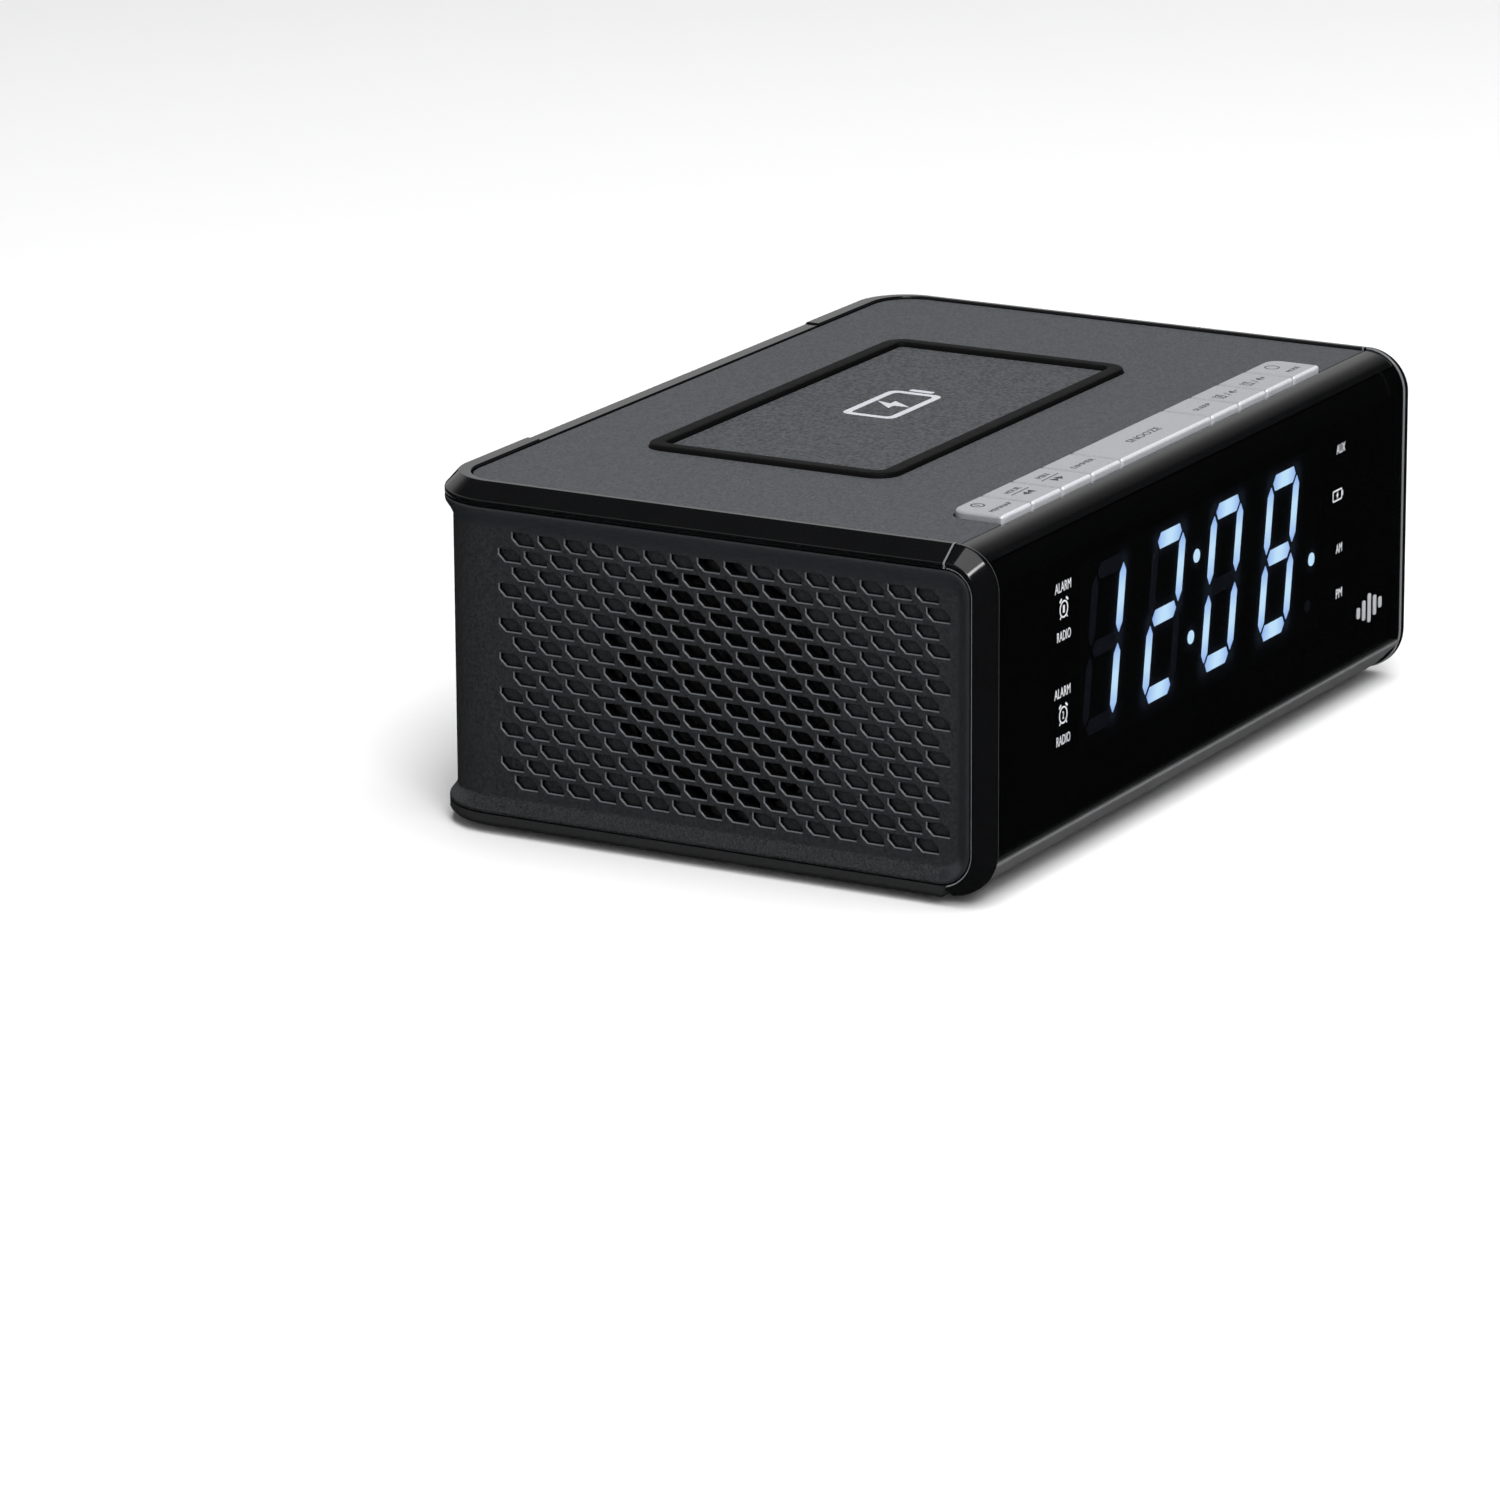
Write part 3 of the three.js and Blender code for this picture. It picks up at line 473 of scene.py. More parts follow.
def lit_material():
    """A lit segment: whiter in the middle, bluer at its ends, by the glow attribute."""
    finish = Finish("led_lit", (0.02, 0.03, 0.05), 0.5, Emission_Strength=3.2)
    glow = finish.tree.nodes.new("ShaderNodeAttribute")
    glow.attribute_name = "glow"
    mottle = finish.noise(1.6)
    mix = finish.tree.nodes.new("ShaderNodeMath")
    mix.operation = "MULTIPLY_ADD"
    mix.inputs[1].default_value = 0.25
    finish.tree.links.new(mottle, mix.inputs[0])
    finish.tree.links.new(glow.outputs["Fac"], mix.inputs[2])
    finish.colour_by(mix.outputs[0], (0.26, 0.42, 0.85), (0.54, 0.78, 1.0), 0.1, 0.95, "Emission Color")
    return finish.material


def halo_material():
    """The faint spill of light round the lit segments."""
    finish = Finish("led_halo", grey(0.002), 0.8, Emission_Strength=0.05, Specular_IOR_Level=0.1)
    glow = finish.tree.nodes.new("ShaderNodeAttribute")
    glow.attribute_name = "glow"
    finish.colour_by(glow.outputs["Fac"], (0.0, 0.0, 0.0), (0.35, 0.5, 0.8), 0.0, 1.0, "Emission Color")
    return finish.material


def ghost_material():
    # The unlit segments' faint blue emission is a painted glow.
    finish = Finish("led_unlit_painted_glow", (0.012, 0.014, 0.024), 0.5, Emission_Strength=0.02)
    finish.colour_by(finish.noise(4), (0.3, 0.34, 0.6), (0.42, 0.46, 0.8), socket="Emission Color")
    return finish.material


def metal(name, colour, roughness, grain=0.6, stretch=(1, 1, 1)):
    finish = Finish(name, colour, roughness, Metallic=1.0)
    grainy = finish.noise(grain, 3, stretch)
    finish.colour_by(grainy, tuple(c * 0.85 for c in colour), colour)
    finish.rough_by(grainy, roughness * 0.8, roughness * 1.3)
    finish.bump_by(grainy, 0.004)
    return finish.material


def board_material():
    """Green solder mask with faint tracks showing through."""
    finish = Finish("circuit_board", (0.012, 0.1, 0.035), 0.35)
    finish.colour_by(finish.noise(1.4, 4, (1, 0.15, 1)), (0.008, 0.07, 0.025), (0.02, 0.15, 0.05))
    return finish.material


def copper_material():
    """Litz wire wound in close turns."""
    finish = Finish("copper_winding", (0.6, 0.22, 0.09), 0.35, Metallic=1.0)
    waves = finish.tree.nodes.new("ShaderNodeTexWave")
    waves.wave_type = "RINGS"
    waves.inputs["Scale"].default_value = 250
    finish.tree.links.new(finish.where, waves.inputs["Vector"])
    finish.colour_by(waves.outputs["Fac"], (0.3, 0.1, 0.04), (0.65, 0.26, 0.11))
    finish.bump_by(waves.outputs["Fac"], 0.1)
    return finish.material


LENS = lens_material()
LENS_INSIDE = clear_material()
SILVER = silver_material()
# A much lighter silver for the keys' front edges: a painted highlight.
SILVER_PAINTED_HIGHLIGHT = silver_material("key_silver_painted_highlight", 0.85)
LIT = lit_material()
HALO = halo_material()
GHOST_PAINTED_GLOW = ghost_material()
STEEL = metal("plated_steel", (0.55, 0.56, 0.58), 0.28)
DARK_STEEL = metal("basket_steel", (0.12, 0.12, 0.13), 0.4)
BOARD = board_material()
COPPER = copper_material()
FERRITE = plastic("ferrite", grey(0.03), 0.7, 0.8, 0.03, 0.25)
CONE = plastic("cone_paper", grey(0.018), 0.85, 0.7, 0.06, 0.3)
CELL = plastic("cell_wrap", (0.03, 0.12, 0.06), 0.3, 2, 0.003, 0.1)


# ---- Case: the glossy front ----

ARC_STEPS = 14
CHEEK_INNER = SIDE - LENS_INSET
BRIDGE_DROP = 0.45
SEAT_DEPTH = 1.9
TOP_CENTRE = (FRONT + TOP_RADIUS, TOP - TOP_RADIUS)
WINDOW_HALF = 54
WINDOW_LOW = BASE + 14
WINDOW_HIGH = BASE + 56


def side_line(front, low, high, bottom_radius, top_radius):
    """Points in Y and Z from the bezel's back over the top, down the front and under."""
    line = [(BEZEL_BACK, high)]
    line += arc((front + top_radius, high - top_radius), top_radius, 90, 180, ARC_STEPS)
    line += arc((front + bottom_radius, low + bottom_radius), bottom_radius, 180, 270, ARC_STEPS)
    line.append((BEZEL_BACK, low))
    return [(min(y, BEZEL_BACK), z) for y, z in line]


# Places in a cheek's section of the rounded edges along the lens and along the side panel; these edges
# carry a painted highlight.
CHEEK_EDGES = (1, 2, 3, 13, 14, 15)
BEZEL_HIGHLIGHT_MARK = 2


def add_cheek(shell, side):
    """The rounded end of the bezel: a frame strip, a chamfer, and a narrow band to the gap."""
    outer = side_line(FRONT, BASE, TOP, BOTTOM_RADIUS, TOP_RADIUS)
    gap = side_line(PANEL_FRONT - GAP, SEAM_BOTTOM - GAP, SEAM_TOP + GAP, 6.5, 5.0)
    rows = []
    for i, (a, b) in enumerate(zip(outer, gap)):
        span = (Vector(b) - Vector(a)).length
        inwards = (Vector(b) - Vector(a)) / span
        fade = min(1, i / ARC_STEPS)
        width = RIM_CHAMFER + (CHAMFER - RIM_CHAMFER) * fade
        drop = min(CHAMFER, span - 0.45)
        corners = [
            (CHEEK_INNER, 2.2), (CHEEK_INNER, 0), (SIDE - width, 0), (SIDE, drop),
            (SIDE, span), (SIDE - 2, span), (SIDE - 2, 2.2),
        ]
        section = rounded(corners, [0, 0.3, 0.4, 0.35, 0.24, 0, 0], 3)
        rows.append([(side * x, a[0] + inwards.x * e, a[1] + inwards.y * e) for x, e in section])
    first = len(shell.faces)
    shell.loft(rows, caps=True)
    # The rounded edges along the lens and the side panel get the painted highlight finish.
    for row in range(len(rows) - 1):
        for k in CHEEK_EDGES:
            shell.marks[first + row * len(rows[0]) + k] = BEZEL_HIGHLIGHT_MARK


def bridge_section():
    """The strip between the cheeks, from the lid's seam to the lens, and down behind the lens."""
    radius = TOP_RADIUS - BRIDGE_DROP
    seat = TOP_RADIUS - SEAT_DEPTH
    lip = 180 - LENS_TOP_ANGLE - 2.5
    top = TOP - BRIDGE_DROP
    line = arc((BEZEL_BACK - 0.3, top - 0.3), 0.3, 0, 90, 4)
    line += arc(TOP_CENTRE, radius, 92, lip - 2.2, 12)
    line += arc(TOP_CENTRE, radius - 0.12, lip - 0.6, lip, 1)
    line += arc(TOP_CENTRE, seat, lip, 180, 8)
    line += [(FRONT + SEAT_DEPTH, WINDOW_HIGH), (FRONT + SEAT_DEPTH + 2, WINDOW_HIGH)]
    line += arc(TOP_CENTRE, seat - 2, 180, 90, 8)
    line.append((BEZEL_BACK, TOP_CENTRE[1] + seat - 2))
    return line


def chin_section():
    """The sloped lower edge that meets the base."""
    ledge = BASE + CHIN_HEIGHT + GAP
    foot = BASE + CHIN_HEIGHT - CHIN_DEPTH
    corners = [
        (FRONT + GAP, ledge), (FRONT + GAP, ledge - 0.5), (FRONT + CHIN_DEPTH, foot), (BEZEL_BACK, foot),
        (BEZEL_BACK, foot + 2), (FRONT + CHIN_DEPTH + 1, foot + 2), (FRONT + SEAT_DEPTH + 2, ledge),
    ]
    return rounded(corners, [0.12, 0.25, 0.5, 0.3, 0, 0, 0], 3)


def apron_section():
    """The wall behind the lens, under the window."""
    front = FRONT + SEAT_DEPTH
    ledge = BASE + CHIN_HEIGHT + GAP
    return [(front, WINDOW_LOW), (front, ledge - 0.1), (front + 2, ledge - 0.1), (front + 2, WINDOW_LOW)]


def add_front_bezel():
    shell = Shell()
    for side in (-1, 1):
        add_cheek(shell, side)
        x = sorted((side * WINDOW_HALF, side * CHEEK_INNER))
        post = rectangle(x, (WINDOW_LOW, WINDOW_HIGH))
        shell.prism(post, FRONT + SEAT_DEPTH, FRONT + SEAT_DEPTH + 2, facing_back, 0)
    across = CHEEK_INNER + 0.1
    for mark, section in enumerate((bridge_section(), chin_section(), apron_section())):
        shell.mark = mark % 2
        shell.loft([[(x, y, z) for y, z in section] for x in (-across, across)], caps=True)
    # The chin's grey is a painted reflection of the floor.
    finishes = [GLOSS, CHIN_PAINTED_REFLECTION, GLOSS_PAINTED_HIGHLIGHT]
    return shell.build("front_bezel_shell", finishes, stands_for=["front_bezel"], slot="gloss_black")


def add_display_lens():
    low = BASE + CHIN_HEIGHT + 2 * GAP
    top = 180 - LENS_TOP_ANGLE
    front = [(FRONT + GAP + 0.2, low), (FRONT + GAP, low + 0.2)]
    front += arc(TOP_CENTRE, TOP_RADIUS - GAP, 180, top, 12)
    back = arc(TOP_CENTRE, TOP_RADIUS - GAP - LENS_THICKNESS, top, 180, 12)
    back.append((FRONT + GAP + LENS_THICKNESS, low))
    half = CHEEK_INNER - GAP
    shell = Shell()
    sides = (-half, half)
    shell.loft([[crosswise(y, z, x) for y, z in front] for x in sides], ring=False)
    shell.mark = 1
    section = [front[-1], *back, front[0]]
    shell.loft([[crosswise(y, z, x) for y, z in section] for x in sides], ring=False)
    for x in sides:
        shell.sheet(front + back, [], crosswise, x)
    finishes = [LENS, LENS_INSIDE]
    return shell.build("display_lens_pane", finishes, stands_for=["display_lens"], slot="display_lens")


def add_lens_mask():
    """The black print behind the lens, which leaves only the digits' window clear."""
    across = CHEEK_INNER - 2 * GAP
    outline = rectangle((-across, across), (BASE + CHIN_HEIGHT + 1, TOP_CENTRE[1]))
    window = rectangle((led_low.x + 0.5, led_high.x - 0.5), (led_low.z + 0.5, led_high.z - 0.5), 1.5, 4)
    front = FRONT + GAP + LENS_THICKNESS
    shell = Shell()
    shell.prism(outline, front + 0.04, front + 0.2, facing_back, 0, holes=[window])
    return shell.build("display_lens_mask", MASK, slot="display_lens")


# ---- Case: lid, charging pad and rim ----

PAD_RING_WIDTH = 3.2
PAD_RING_CORNER = 4.5


def pad_outline(distance):
    """The charging pad's rounded rectangle, drawn in from the ring's outer edge."""
    x = (ring_low.x + distance, ring_high.x - distance)
    y = (ring_low.y + distance, ring_high.y - distance)
    return rectangle(x, y, max(PAD_RING_CORNER - distance, 0.6), 8)


def add_top_panel():
    half = panel_high.x
    front = BEZEL_BACK + GAP
    notch = KEY_BACK + GAP
    left, right = KEYS_LEFT - GAP, KEYS_RIGHT + GAP
    corners = [
        (-half, front), (left, front), (left, notch), (right, notch), (right, front),
        (half, front), (half, panel_high.y), (-half, panel_high.y),
    ]
    corner = REAR_RADIUS - (SIDE - half)
    outline = rounded(corners, [0.3, 0.3, 3.2, 3.2, 0.3, 0.3, corner, corner], 8)
    shell = Shell()
    edge = 0.25
    edges = [(0, PANEL_UNDERSIDE), (0, PANEL_TOP - edge), (0.07, PANEL_TOP - 0.07), (edge, PANEL_TOP)]
    shell.loft([[(x, y, z) for x, y in inset(outline, shift)] for shift, z in edges])
    trench = pad_outline(-GAP)
    island = pad_outline(PAD_RING_WIDTH + GAP)
    floor = PANEL_TOP - 1
    shell.sheet(inset(outline, edge), [trench], upright, PANEL_TOP)
    shell.sheet(outline, [], upright, PANEL_UNDERSIDE)
    walls = [(trench, PANEL_TOP), (inset(trench, 0.1), PANEL_TOP - 0.1), (inset(trench, 0.1), floor)]
    walls += [(island, floor), (island, PANEL_TOP - 0.1), (inset(island, 0.1), PANEL_TOP)]
    shell.loft([[(x, y, z) for x, y in loop] for loop, z in walls])
    shell.mark = 1
    shell.sheet(inset(island, 0.1), [], upright, PANEL_TOP)
    shell.mark = 0
    for x, y in POSTS:
        shell.lathe([(1.7, 4.3), (3.5, 4.3), (3.5, PANEL_UNDERSIDE), (1.7, PANEL_UNDERSIDE)], (x, y, 0))
    return shell.build("top_panel_lid", [PANEL, PAD], stands_for=["top_panel"], slot="lid_grey")


def add_pad_ring():
    """A rubber ring with rounded shoulders, standing proud of the lid."""
    low, high = ring_low.z, ring_high.z
    shoulders = [(0, low), (0, high - 0.5), (0.15, high - 0.15), (0.5, high)]
    shoulders += [(PAD_RING_WIDTH - d, z) for d, z in shoulders[::-1]]
    shell = Shell()
    shell.loft([[(x, y, z) for x, y in pad_outline(d)] for d, z in shoulders], loop=True)
    return shell.build("charging_pad_ring", RUBBER, stands_for=["pad_ring"], slot="pad_rubber")


def rim_section(top, chamfer_width):
    """The rolled edge in inset and height: band with a hairline groove, chamfer, lip and ledge."""
    low = SEAM_TOP + GAP
    shoulder = TOP - CHAMFER
    corners = [
        (0, low), (0, low + 0.3), (0.14, low + 0.4), (0.14, low + 0.6), (0, low + 0.7), (0, shoulder),
        (chamfer_width, top), (RIM_WIDTH, top), (RIM_WIDTH, PANEL_UNDERSIDE - GAP),
        (7.4, PANEL_UNDERSIDE - GAP), (7.4, low),
    ]
    return rounded(corners, [0.15, 0, 0, 0, 0, 0.4, 0.4, 0.25, 0, 0, 0], 3)


ARC_LENGTH = REAR_RADIUS * math.pi / 2
STRAIGHT = BACK - REAR_RADIUS - PANEL_FRONT
REAR_REACH = STRAIGHT + ARC_LENGTH + (SIDE - REAR_RADIUS) - (REAR_SEAM + GAP)
CORNER_STATIONS = [STRAIGHT + ARC_LENGTH * i / 12 for i in range(13)]


def round_the_case(side):
    """Gives a place function: along is measured from the side panel's front edge round to the back."""
    def place(along, z, depth):
        x, y = SIDE - REAR_RADIUS, BACK - REAR_RADIUS
        if along <= STRAIGHT:
            return (side * (SIDE - depth), PANEL_FRONT + along, z)
        if along <= STRAIGHT + ARC_LENGTH:
            turn = (along - STRAIGHT) / REAR_RADIUS
            reach = REAR_RADIUS - depth
            return (side * (x + reach * math.cos(turn)), y + reach * math.sin(turn), z)
        return (side * (x - (along - STRAIGHT - ARC_LENGTH)), BACK - depth, z)
    return place


def add_side_rim(side, name):
    place = round_the_case(side)
    front = BEZEL_BACK + GAP - PANEL_FRONT
    rows = []
    for along in [front, front + 0.4, *CORNER_STATIONS, REAR_REACH]:
        turn = min(1, max(0, (along - STRAIGHT) / ARC_LENGTH))
        width = RIM_CHAMFER + (REAR_RIM_CHAMFER - RIM_CHAMFER) * turn
        rows.append([place(along, z, depth) for depth, z in rim_section(TOP, width)])
    shell = Shell()
    shell.loft(rows, caps=True)
    # The rim's front end strip, beside the cheek, gets the painted highlight finish.
    shell.marks[:len(rows[0])] = [1] * len(rows[0])
    return shell.build(f"{name}_edge", [GLOSS, GLOSS_PAINTED_HIGHLIGHT], stands_for=[name], slot="gloss_black")


# ---- Case: side panels with their speaker grilles ----

HOLE_LENGTH = 4.5
HOLE_HEIGHT = 2.25
HOLE_CUT = (1.35, 1.25)
HOLE_CHAMFER = 0.2
HOLE_PITCH = 5.56
ROW_PITCH = 3.304
ROW_COUNT = 15
TOP_ROW_Z = 56.7
ODD_ROW_BACK = 37.4
EVEN_ROW_BACK = 40.3
ODD_ROW_HOLES = 16
SPEAKER_CENTRE = (-4.2, 33.45)
OPEN_RADIUS = 23.85
DIMPLE_DEPTH = 1.0

# How the panel falls from its seam to the recessed field: distance from the edge, and depth.
FLARE = [
    (0, 0.12), (0.12, 0.02), (0.45, 0), (0.8, 0.08),
    (1.5, 0.62), (2.2, 1.15), (2.7, 1.42), (3.1, RECESS),
]
TOP_FLARE_STRETCH = 1.25
FIELD_CORNERS = (6.2, 4.7)

# The side panel's finishes, by the mark its faces carry.
SIDE_FINISHES = [MOULDING, SATIN, HOLE_PAINTED_HIGHLIGHT, HOLE_WALL_PAINTED_SHADE, STIPPLE]
FIELD_MARK, SATIN_MARK, HOLE_HIGHLIGHT_MARK, SHADED_WALL_MARK, STIPPLE_MARK = range(5)


def hexagon(centre, grow=0.0):
    """A long slot with its upper front and lower rear corners cut off."""
    a, b = HOLE_LENGTH / 2 + grow, HOLE_HEIGHT / 2 + grow
    cut, rise = (side + grow * 0.4 for side in HOLE_CUT)
    u, z = centre
    return [(u - a, z - b), (u + a - cut, z - b), (u + a, z - b + rise),
            (u + a, z + b), (u - a + cut, z + b), (u - a, z + b - rise)]


def grille_holes():
    """Centres of all holes as (along, z), and whether each goes right through."""
    found = []
    for row in range(ROW_COUNT):
        even = row % 2
        back = EVEN_ROW_BACK if even else ODD_ROW_BACK
        z = TOP_ROW_Z - row * ROW_PITCH
        for i in range(ODD_ROW_HOLES + even):
            y = back - i * HOLE_PITCH * (0.995 if even else 1)
            through = math.hypot(y - SPEAKER_CENTRE[0], z - SPEAKER_CENTRE[1]) < OPEN_RADIUS
            found.append(((y - PANEL_FRONT, z), through))
    return found


def panel_line(distance):
    """The side panel's edge drawn in: along the foot, round the front and back along the top."""
    low, high = SEAM_BOTTOM, SEAM_TOP
    below, above = distance, distance * TOP_FLARE_STRETCH
    stations = [REAR_REACH, *reversed(CORNER_STATIONS), 60, 30]
    line = [(u, low + below) for u in stations]
    foot, head = FIELD_CORNERS
    for radius, height, drop, start in ((foot, low + foot, below, 270), (head, high - head, above, 180)):
        for k in range(9):
            angle = math.radians(start - 90 * k / 8)
            u = radius + (radius - distance) * math.cos(angle)
            line.append((u, height + (radius - drop) * math.sin(angle)))
    line += [(u, high - above) for u in reversed(stations)]
    return line


def bend_lines(line):
    """Upright lines across the panel where it turns the rear corner."""
    half = len(line) // 2
    return [(line[i], line[-1 - i]) for i in range(1, half) if line[i][0] in CORNER_STATIONS]


def add_grille_hole(shell, centre, is_open, place):
    """A chamfered hole, or a dimple; the chamfer's lower and rear edges carry a painted highlight, and its
    walls a painted shade.
    """
    levels = [(HOLE_CHAMFER, 0), (0, HOLE_CHAMFER)]
    levels.append((0, WALL) if is_open else (-0.06, DIMPLE_DEPTH))
    loops = [[place(u, z, RECESS + depth) for u, z in hexagon(centre, grow)] for grow, depth in levels]
    shell.mark = HOLE_HIGHLIGHT_MARK
    shell.loft(loops[:2])
    shell.marks[-3:] = [SATIN_MARK] * 3
    # The hole walls get the near-black finish, a painted shade.
    shell.mark = SHADED_WALL_MARK
    shell.loft(loops[1:])
    if not is_open:
        shell.mark = FIELD_MARK
        shell.add(loops[-1], [tuple(range(6))])


def add_side_panel(side, name):
    place = round_the_case(side)
    shell = Shell()
    rim = panel_line(0)
    field = panel_line(FLARE[-1][0])
    inner = RECESS + WALL
    holes = grille_holes()
    rows = [[place(u, z, depth) for u, z in panel_line(d)] for d, depth in FLARE]
    front_foot = max(i for i, (u, z) in enumerate(rim) if z < rim[0][1] + 0.1)
    shell.mark = SATIN_MARK
    shell.loft([row[front_foot:] for row in rows], ring=False)
    shell.mark = STIPPLE_MARK
    shell.loft([row[:front_foot + 1] for row in rows], ring=False)
    shell.mark = FIELD_MARK
    openings = [hexagon(centre, HOLE_CHAMFER) for centre, _ in holes]
    through = [hexagon(centre) for centre, is_open in holes if is_open]
    shell.sheet(field, openings, place, RECESS, bend_lines(field))
    shell.sheet(rim, through, place, inner, bend_lines(rim))
    shell.loft([[place(u, z, depth) for u, z in rim] for depth in (FLARE[0][1], inner)], ring=False)
    for centre, is_open in holes:
        add_grille_hole(shell, centre, is_open, place)
    shell.mark = FIELD_MARK
    end = [place(REAR_REACH, panel_line(d)[0][1], depth) for d, depth in FLARE]
    end += [place(REAR_REACH, panel_line(d)[-1][1], depth) for d, depth in reversed(FLARE)]
    end += [place(REAR_REACH, z, inner) for z in (SEAM_TOP, SEAM_BOTTOM)]
    shell.add(end, [tuple(range(len(end)))])
    return shell.build(f"{name}_panel", SIDE_FINISHES, stands_for=[name], slot="case_moulding")


# ---- Case: back, base and feet ----

ROUND_SOCKETS = ("aux_socket", "fm_aerial_gland", "power_socket")
LABEL_FRAME = ((-30, 30), (25, 36))


def usb_opening(distance, radius=0.8, steps=4):
    """The USB socket's outline seen from behind, grown by a distance."""
    low, high = box_mm("usb_socket")
    x = (low.x - distance, high.x + distance)
    z = (low.z - distance, high.z + distance)
    return rectangle(x, z, radius, steps)


def add_rear_cover():
    """The back: rolled edge, flared seams, and a field with holes for the sockets and the vents."""
    half = REAR_SEAM
    shell = Shell()
    shell.mark = 1
    section = [(BACK - depth, z) for depth, z in rim_section(TOP - GAP, REAR_RIM_CHAMFER)]
    shell.loft([[(x, y, z) for y, z in section] for x in (-half, half)], caps=True)
    shell.mark = 0
    inner = BACK - RECESS - WALL
    reach = FLARE[-1][0]
    for low in (True, False):
        edge = [(depth, SEAM_BOTTOM + d if low else SEAM_TOP - TOP_FLARE_STRETCH * d) for d, depth in FLARE]
        edge += [(RECESS + WALL, edge[-1][1]), (RECESS + WALL, edge[0][1])]
        shell.loft([[(x, BACK - depth, z) for depth, z in edge] for x in (-half, half)], caps=True)
    holes = [usb_opening(0.25)]
    for socket in ROUND_SOCKETS:
        middle, radius = round_mm(socket)
        holes.append(circle((middle.x, middle.z), radius + 0.25))
    for row in range(3):
        for i in range(14):
            x, z = -45.5 + 7 * i, 41 + 4 * row
            holes.append(rectangle((x - 2.4, x + 2.4), (z - 0.8, z + 0.8), 0.79, 4))
    field = rectangle((-half, half), (SEAM_BOTTOM + reach, SEAM_TOP - TOP_FLARE_STRETCH * reach))
    shell.prism(field, inner, BACK - RECESS, facing_back, 0, holes=holes)
    finishes = [MOULDING, GLOSS]
    return shell.build("rear_cover_shell", finishes, stands_for=["rear_cover"], slot="case_moulding")


def add_socket_bezels():
    """Raised collars round the sockets, and a blank rating-label frame above them."""
    shell = Shell()
    face = BACK - RECESS
    for socket in ("aux_socket", "power_socket", "fm_aerial_gland"):
        middle, radius = round_mm(socket)
        ring = [(0.35, face - 0.2), (0.35, face + 0.5), (1.25, face + 0.5), (1.55, face - 0.2)]
        shell.lathe([(radius + r, y) for r, y in ring], (middle.x, 0, middle.z), "y", 48)
    collar = usb_opening(1.6, 1.6, 5)
    shell.prism(collar, face - 0.2, face + 0.5, facing_back, 0.2, 0, [usb_opening(0.3)])
    (left, right), (low, high) = LABEL_FRAME
    hollow = rectangle((left + 0.7, right - 0.7), (low + 0.7, high - 0.7), 1.3, 5)
    frame_edge = rectangle((left, right), (low, high), 2, 5)
    shell.prism(frame_edge, face - 0.2, face + 0.25, facing_back, 0.12, 0, [hollow])
    return shell.build("socket_collars", SATIN, slot="case_moulding")


def case_plan(distance, front):
    """The case seen from above, drawn in: nearly square in front, round at the back."""
    x, y = SIDE - distance, BACK - distance
    corner = REAR_RADIUS - distance
    radii = [FRONT_CORNER, FRONT_CORNER, corner, corner]
    return rounded([(-x, front), (x, front), (x, y), (-x, y)], radii, 10)


BAY_WALL = 1.5
PIN_RADIUS = 0.65


def add_bottom_cover():
    shell = Shell()
    front = BEZEL_BACK + GAP
    top = SEAM_BOTTOM - GAP
    doorway = rectangle(
        (bay_low.x + BAY_WALL, bay_high.x - BAY_WALL), (door_low.y - 0.3, bay_high.y - BAY_WALL), 0.5, 3)
    holes = [doorway]
    holes += [circle(post, 2.9) for post in POSTS]
    holes += [rectangle((x - 1, x + 1), (18, 36), 0.99, 5) for x in range(-30, 31, 12)]
    outline = case_plan(0, front)
    chamfered = [(outline, top), (outline, BASE + 1.05), (inset(outline, 0.12), BASE + 0.8)]
    chamfered += [(inset(outline, 0.85), BASE + 0.1), (inset(outline, 1.1), BASE)]
    shell.loft([[(x, y, z) for x, y in loop] for loop, z in chamfered])
    shell.sheet(inset(outline, 1.1), holes, upright, BASE)
    shell.sheet(outline, holes, upright, top)
    for hole in holes:
        shell.loft([[(x, y, z) for x, y in hole] for z in (BASE, top)])
    for post in POSTS:
        shell.lathe([(1.75, BASE + 1.4), (2.9, BASE + 1.4), (2.9, top), (1.75, top)], (*post, 0))
    for foot in FEET:
        ring = [(6.3, BASE + 0.1), (6.5, BASE - 0.25), (7.2, BASE - 0.25), (7.4, BASE + 0.1)]
        shell.lathe(ring, (*foot, 0), steps=56)
    return shell.build("bottom_cover_tray", UNDERSIDE, stands_for=["bottom_cover"], slot="base_moulding")


def add_battery_door():
    shell = Shell()
    low, high = BASE, BASE + 1.5
    y = (door_low.y + 0.15, bay_high.y - BAY_WALL - GAP)
    half = bay_high.x - BAY_WALL - GAP
    shell.prism(rectangle((-half, half), y, 0.8, 4), low, high, upright, 0.1, 0.3)
    for i in range(5):
        middle = y[1] - 2.2 - 1.3 * i
        rib = rectangle((-7 + i, 7 - i), (middle - 0.3, middle + 0.3), 0.29, 3)
        shell.prism(rib, low - 0.2, low + 0.3, upright, 0, 0.12)
    ends = (door_low.x, door_high.x)
    pin = [(0.01, ends[0]), (PIN_RADIUS, ends[0]), (PIN_RADIUS, ends[1]), (0.01, ends[1])]
    shell.lathe(pin, (0, door_low.y + PIN_RADIUS, low + 0.75), "x", 20)
    return shell.build("battery_door_panel", UNDERSIDE, "battery_door", ["battery_door"], "base_moulding")


def add_foot(node):
    low, high = box_mm(node)
    middle, radius = round_mm(node)
    profile = [(0.01, low.z), (radius - 1.3, low.z), (radius - 0.5, low.z + 0.15)]
    profile += [(radius - 0.1, low.z + 0.5), (radius, low.z + 0.9), (radius, high.z), (0.01, high.z)]
    shell = Shell()
    shell.lathe(profile, (middle.x, middle.y, 0), steps=48)
    return shell.build(f"{node}_pad", FOOT, stands_for=[node], slot="foot_rubber")


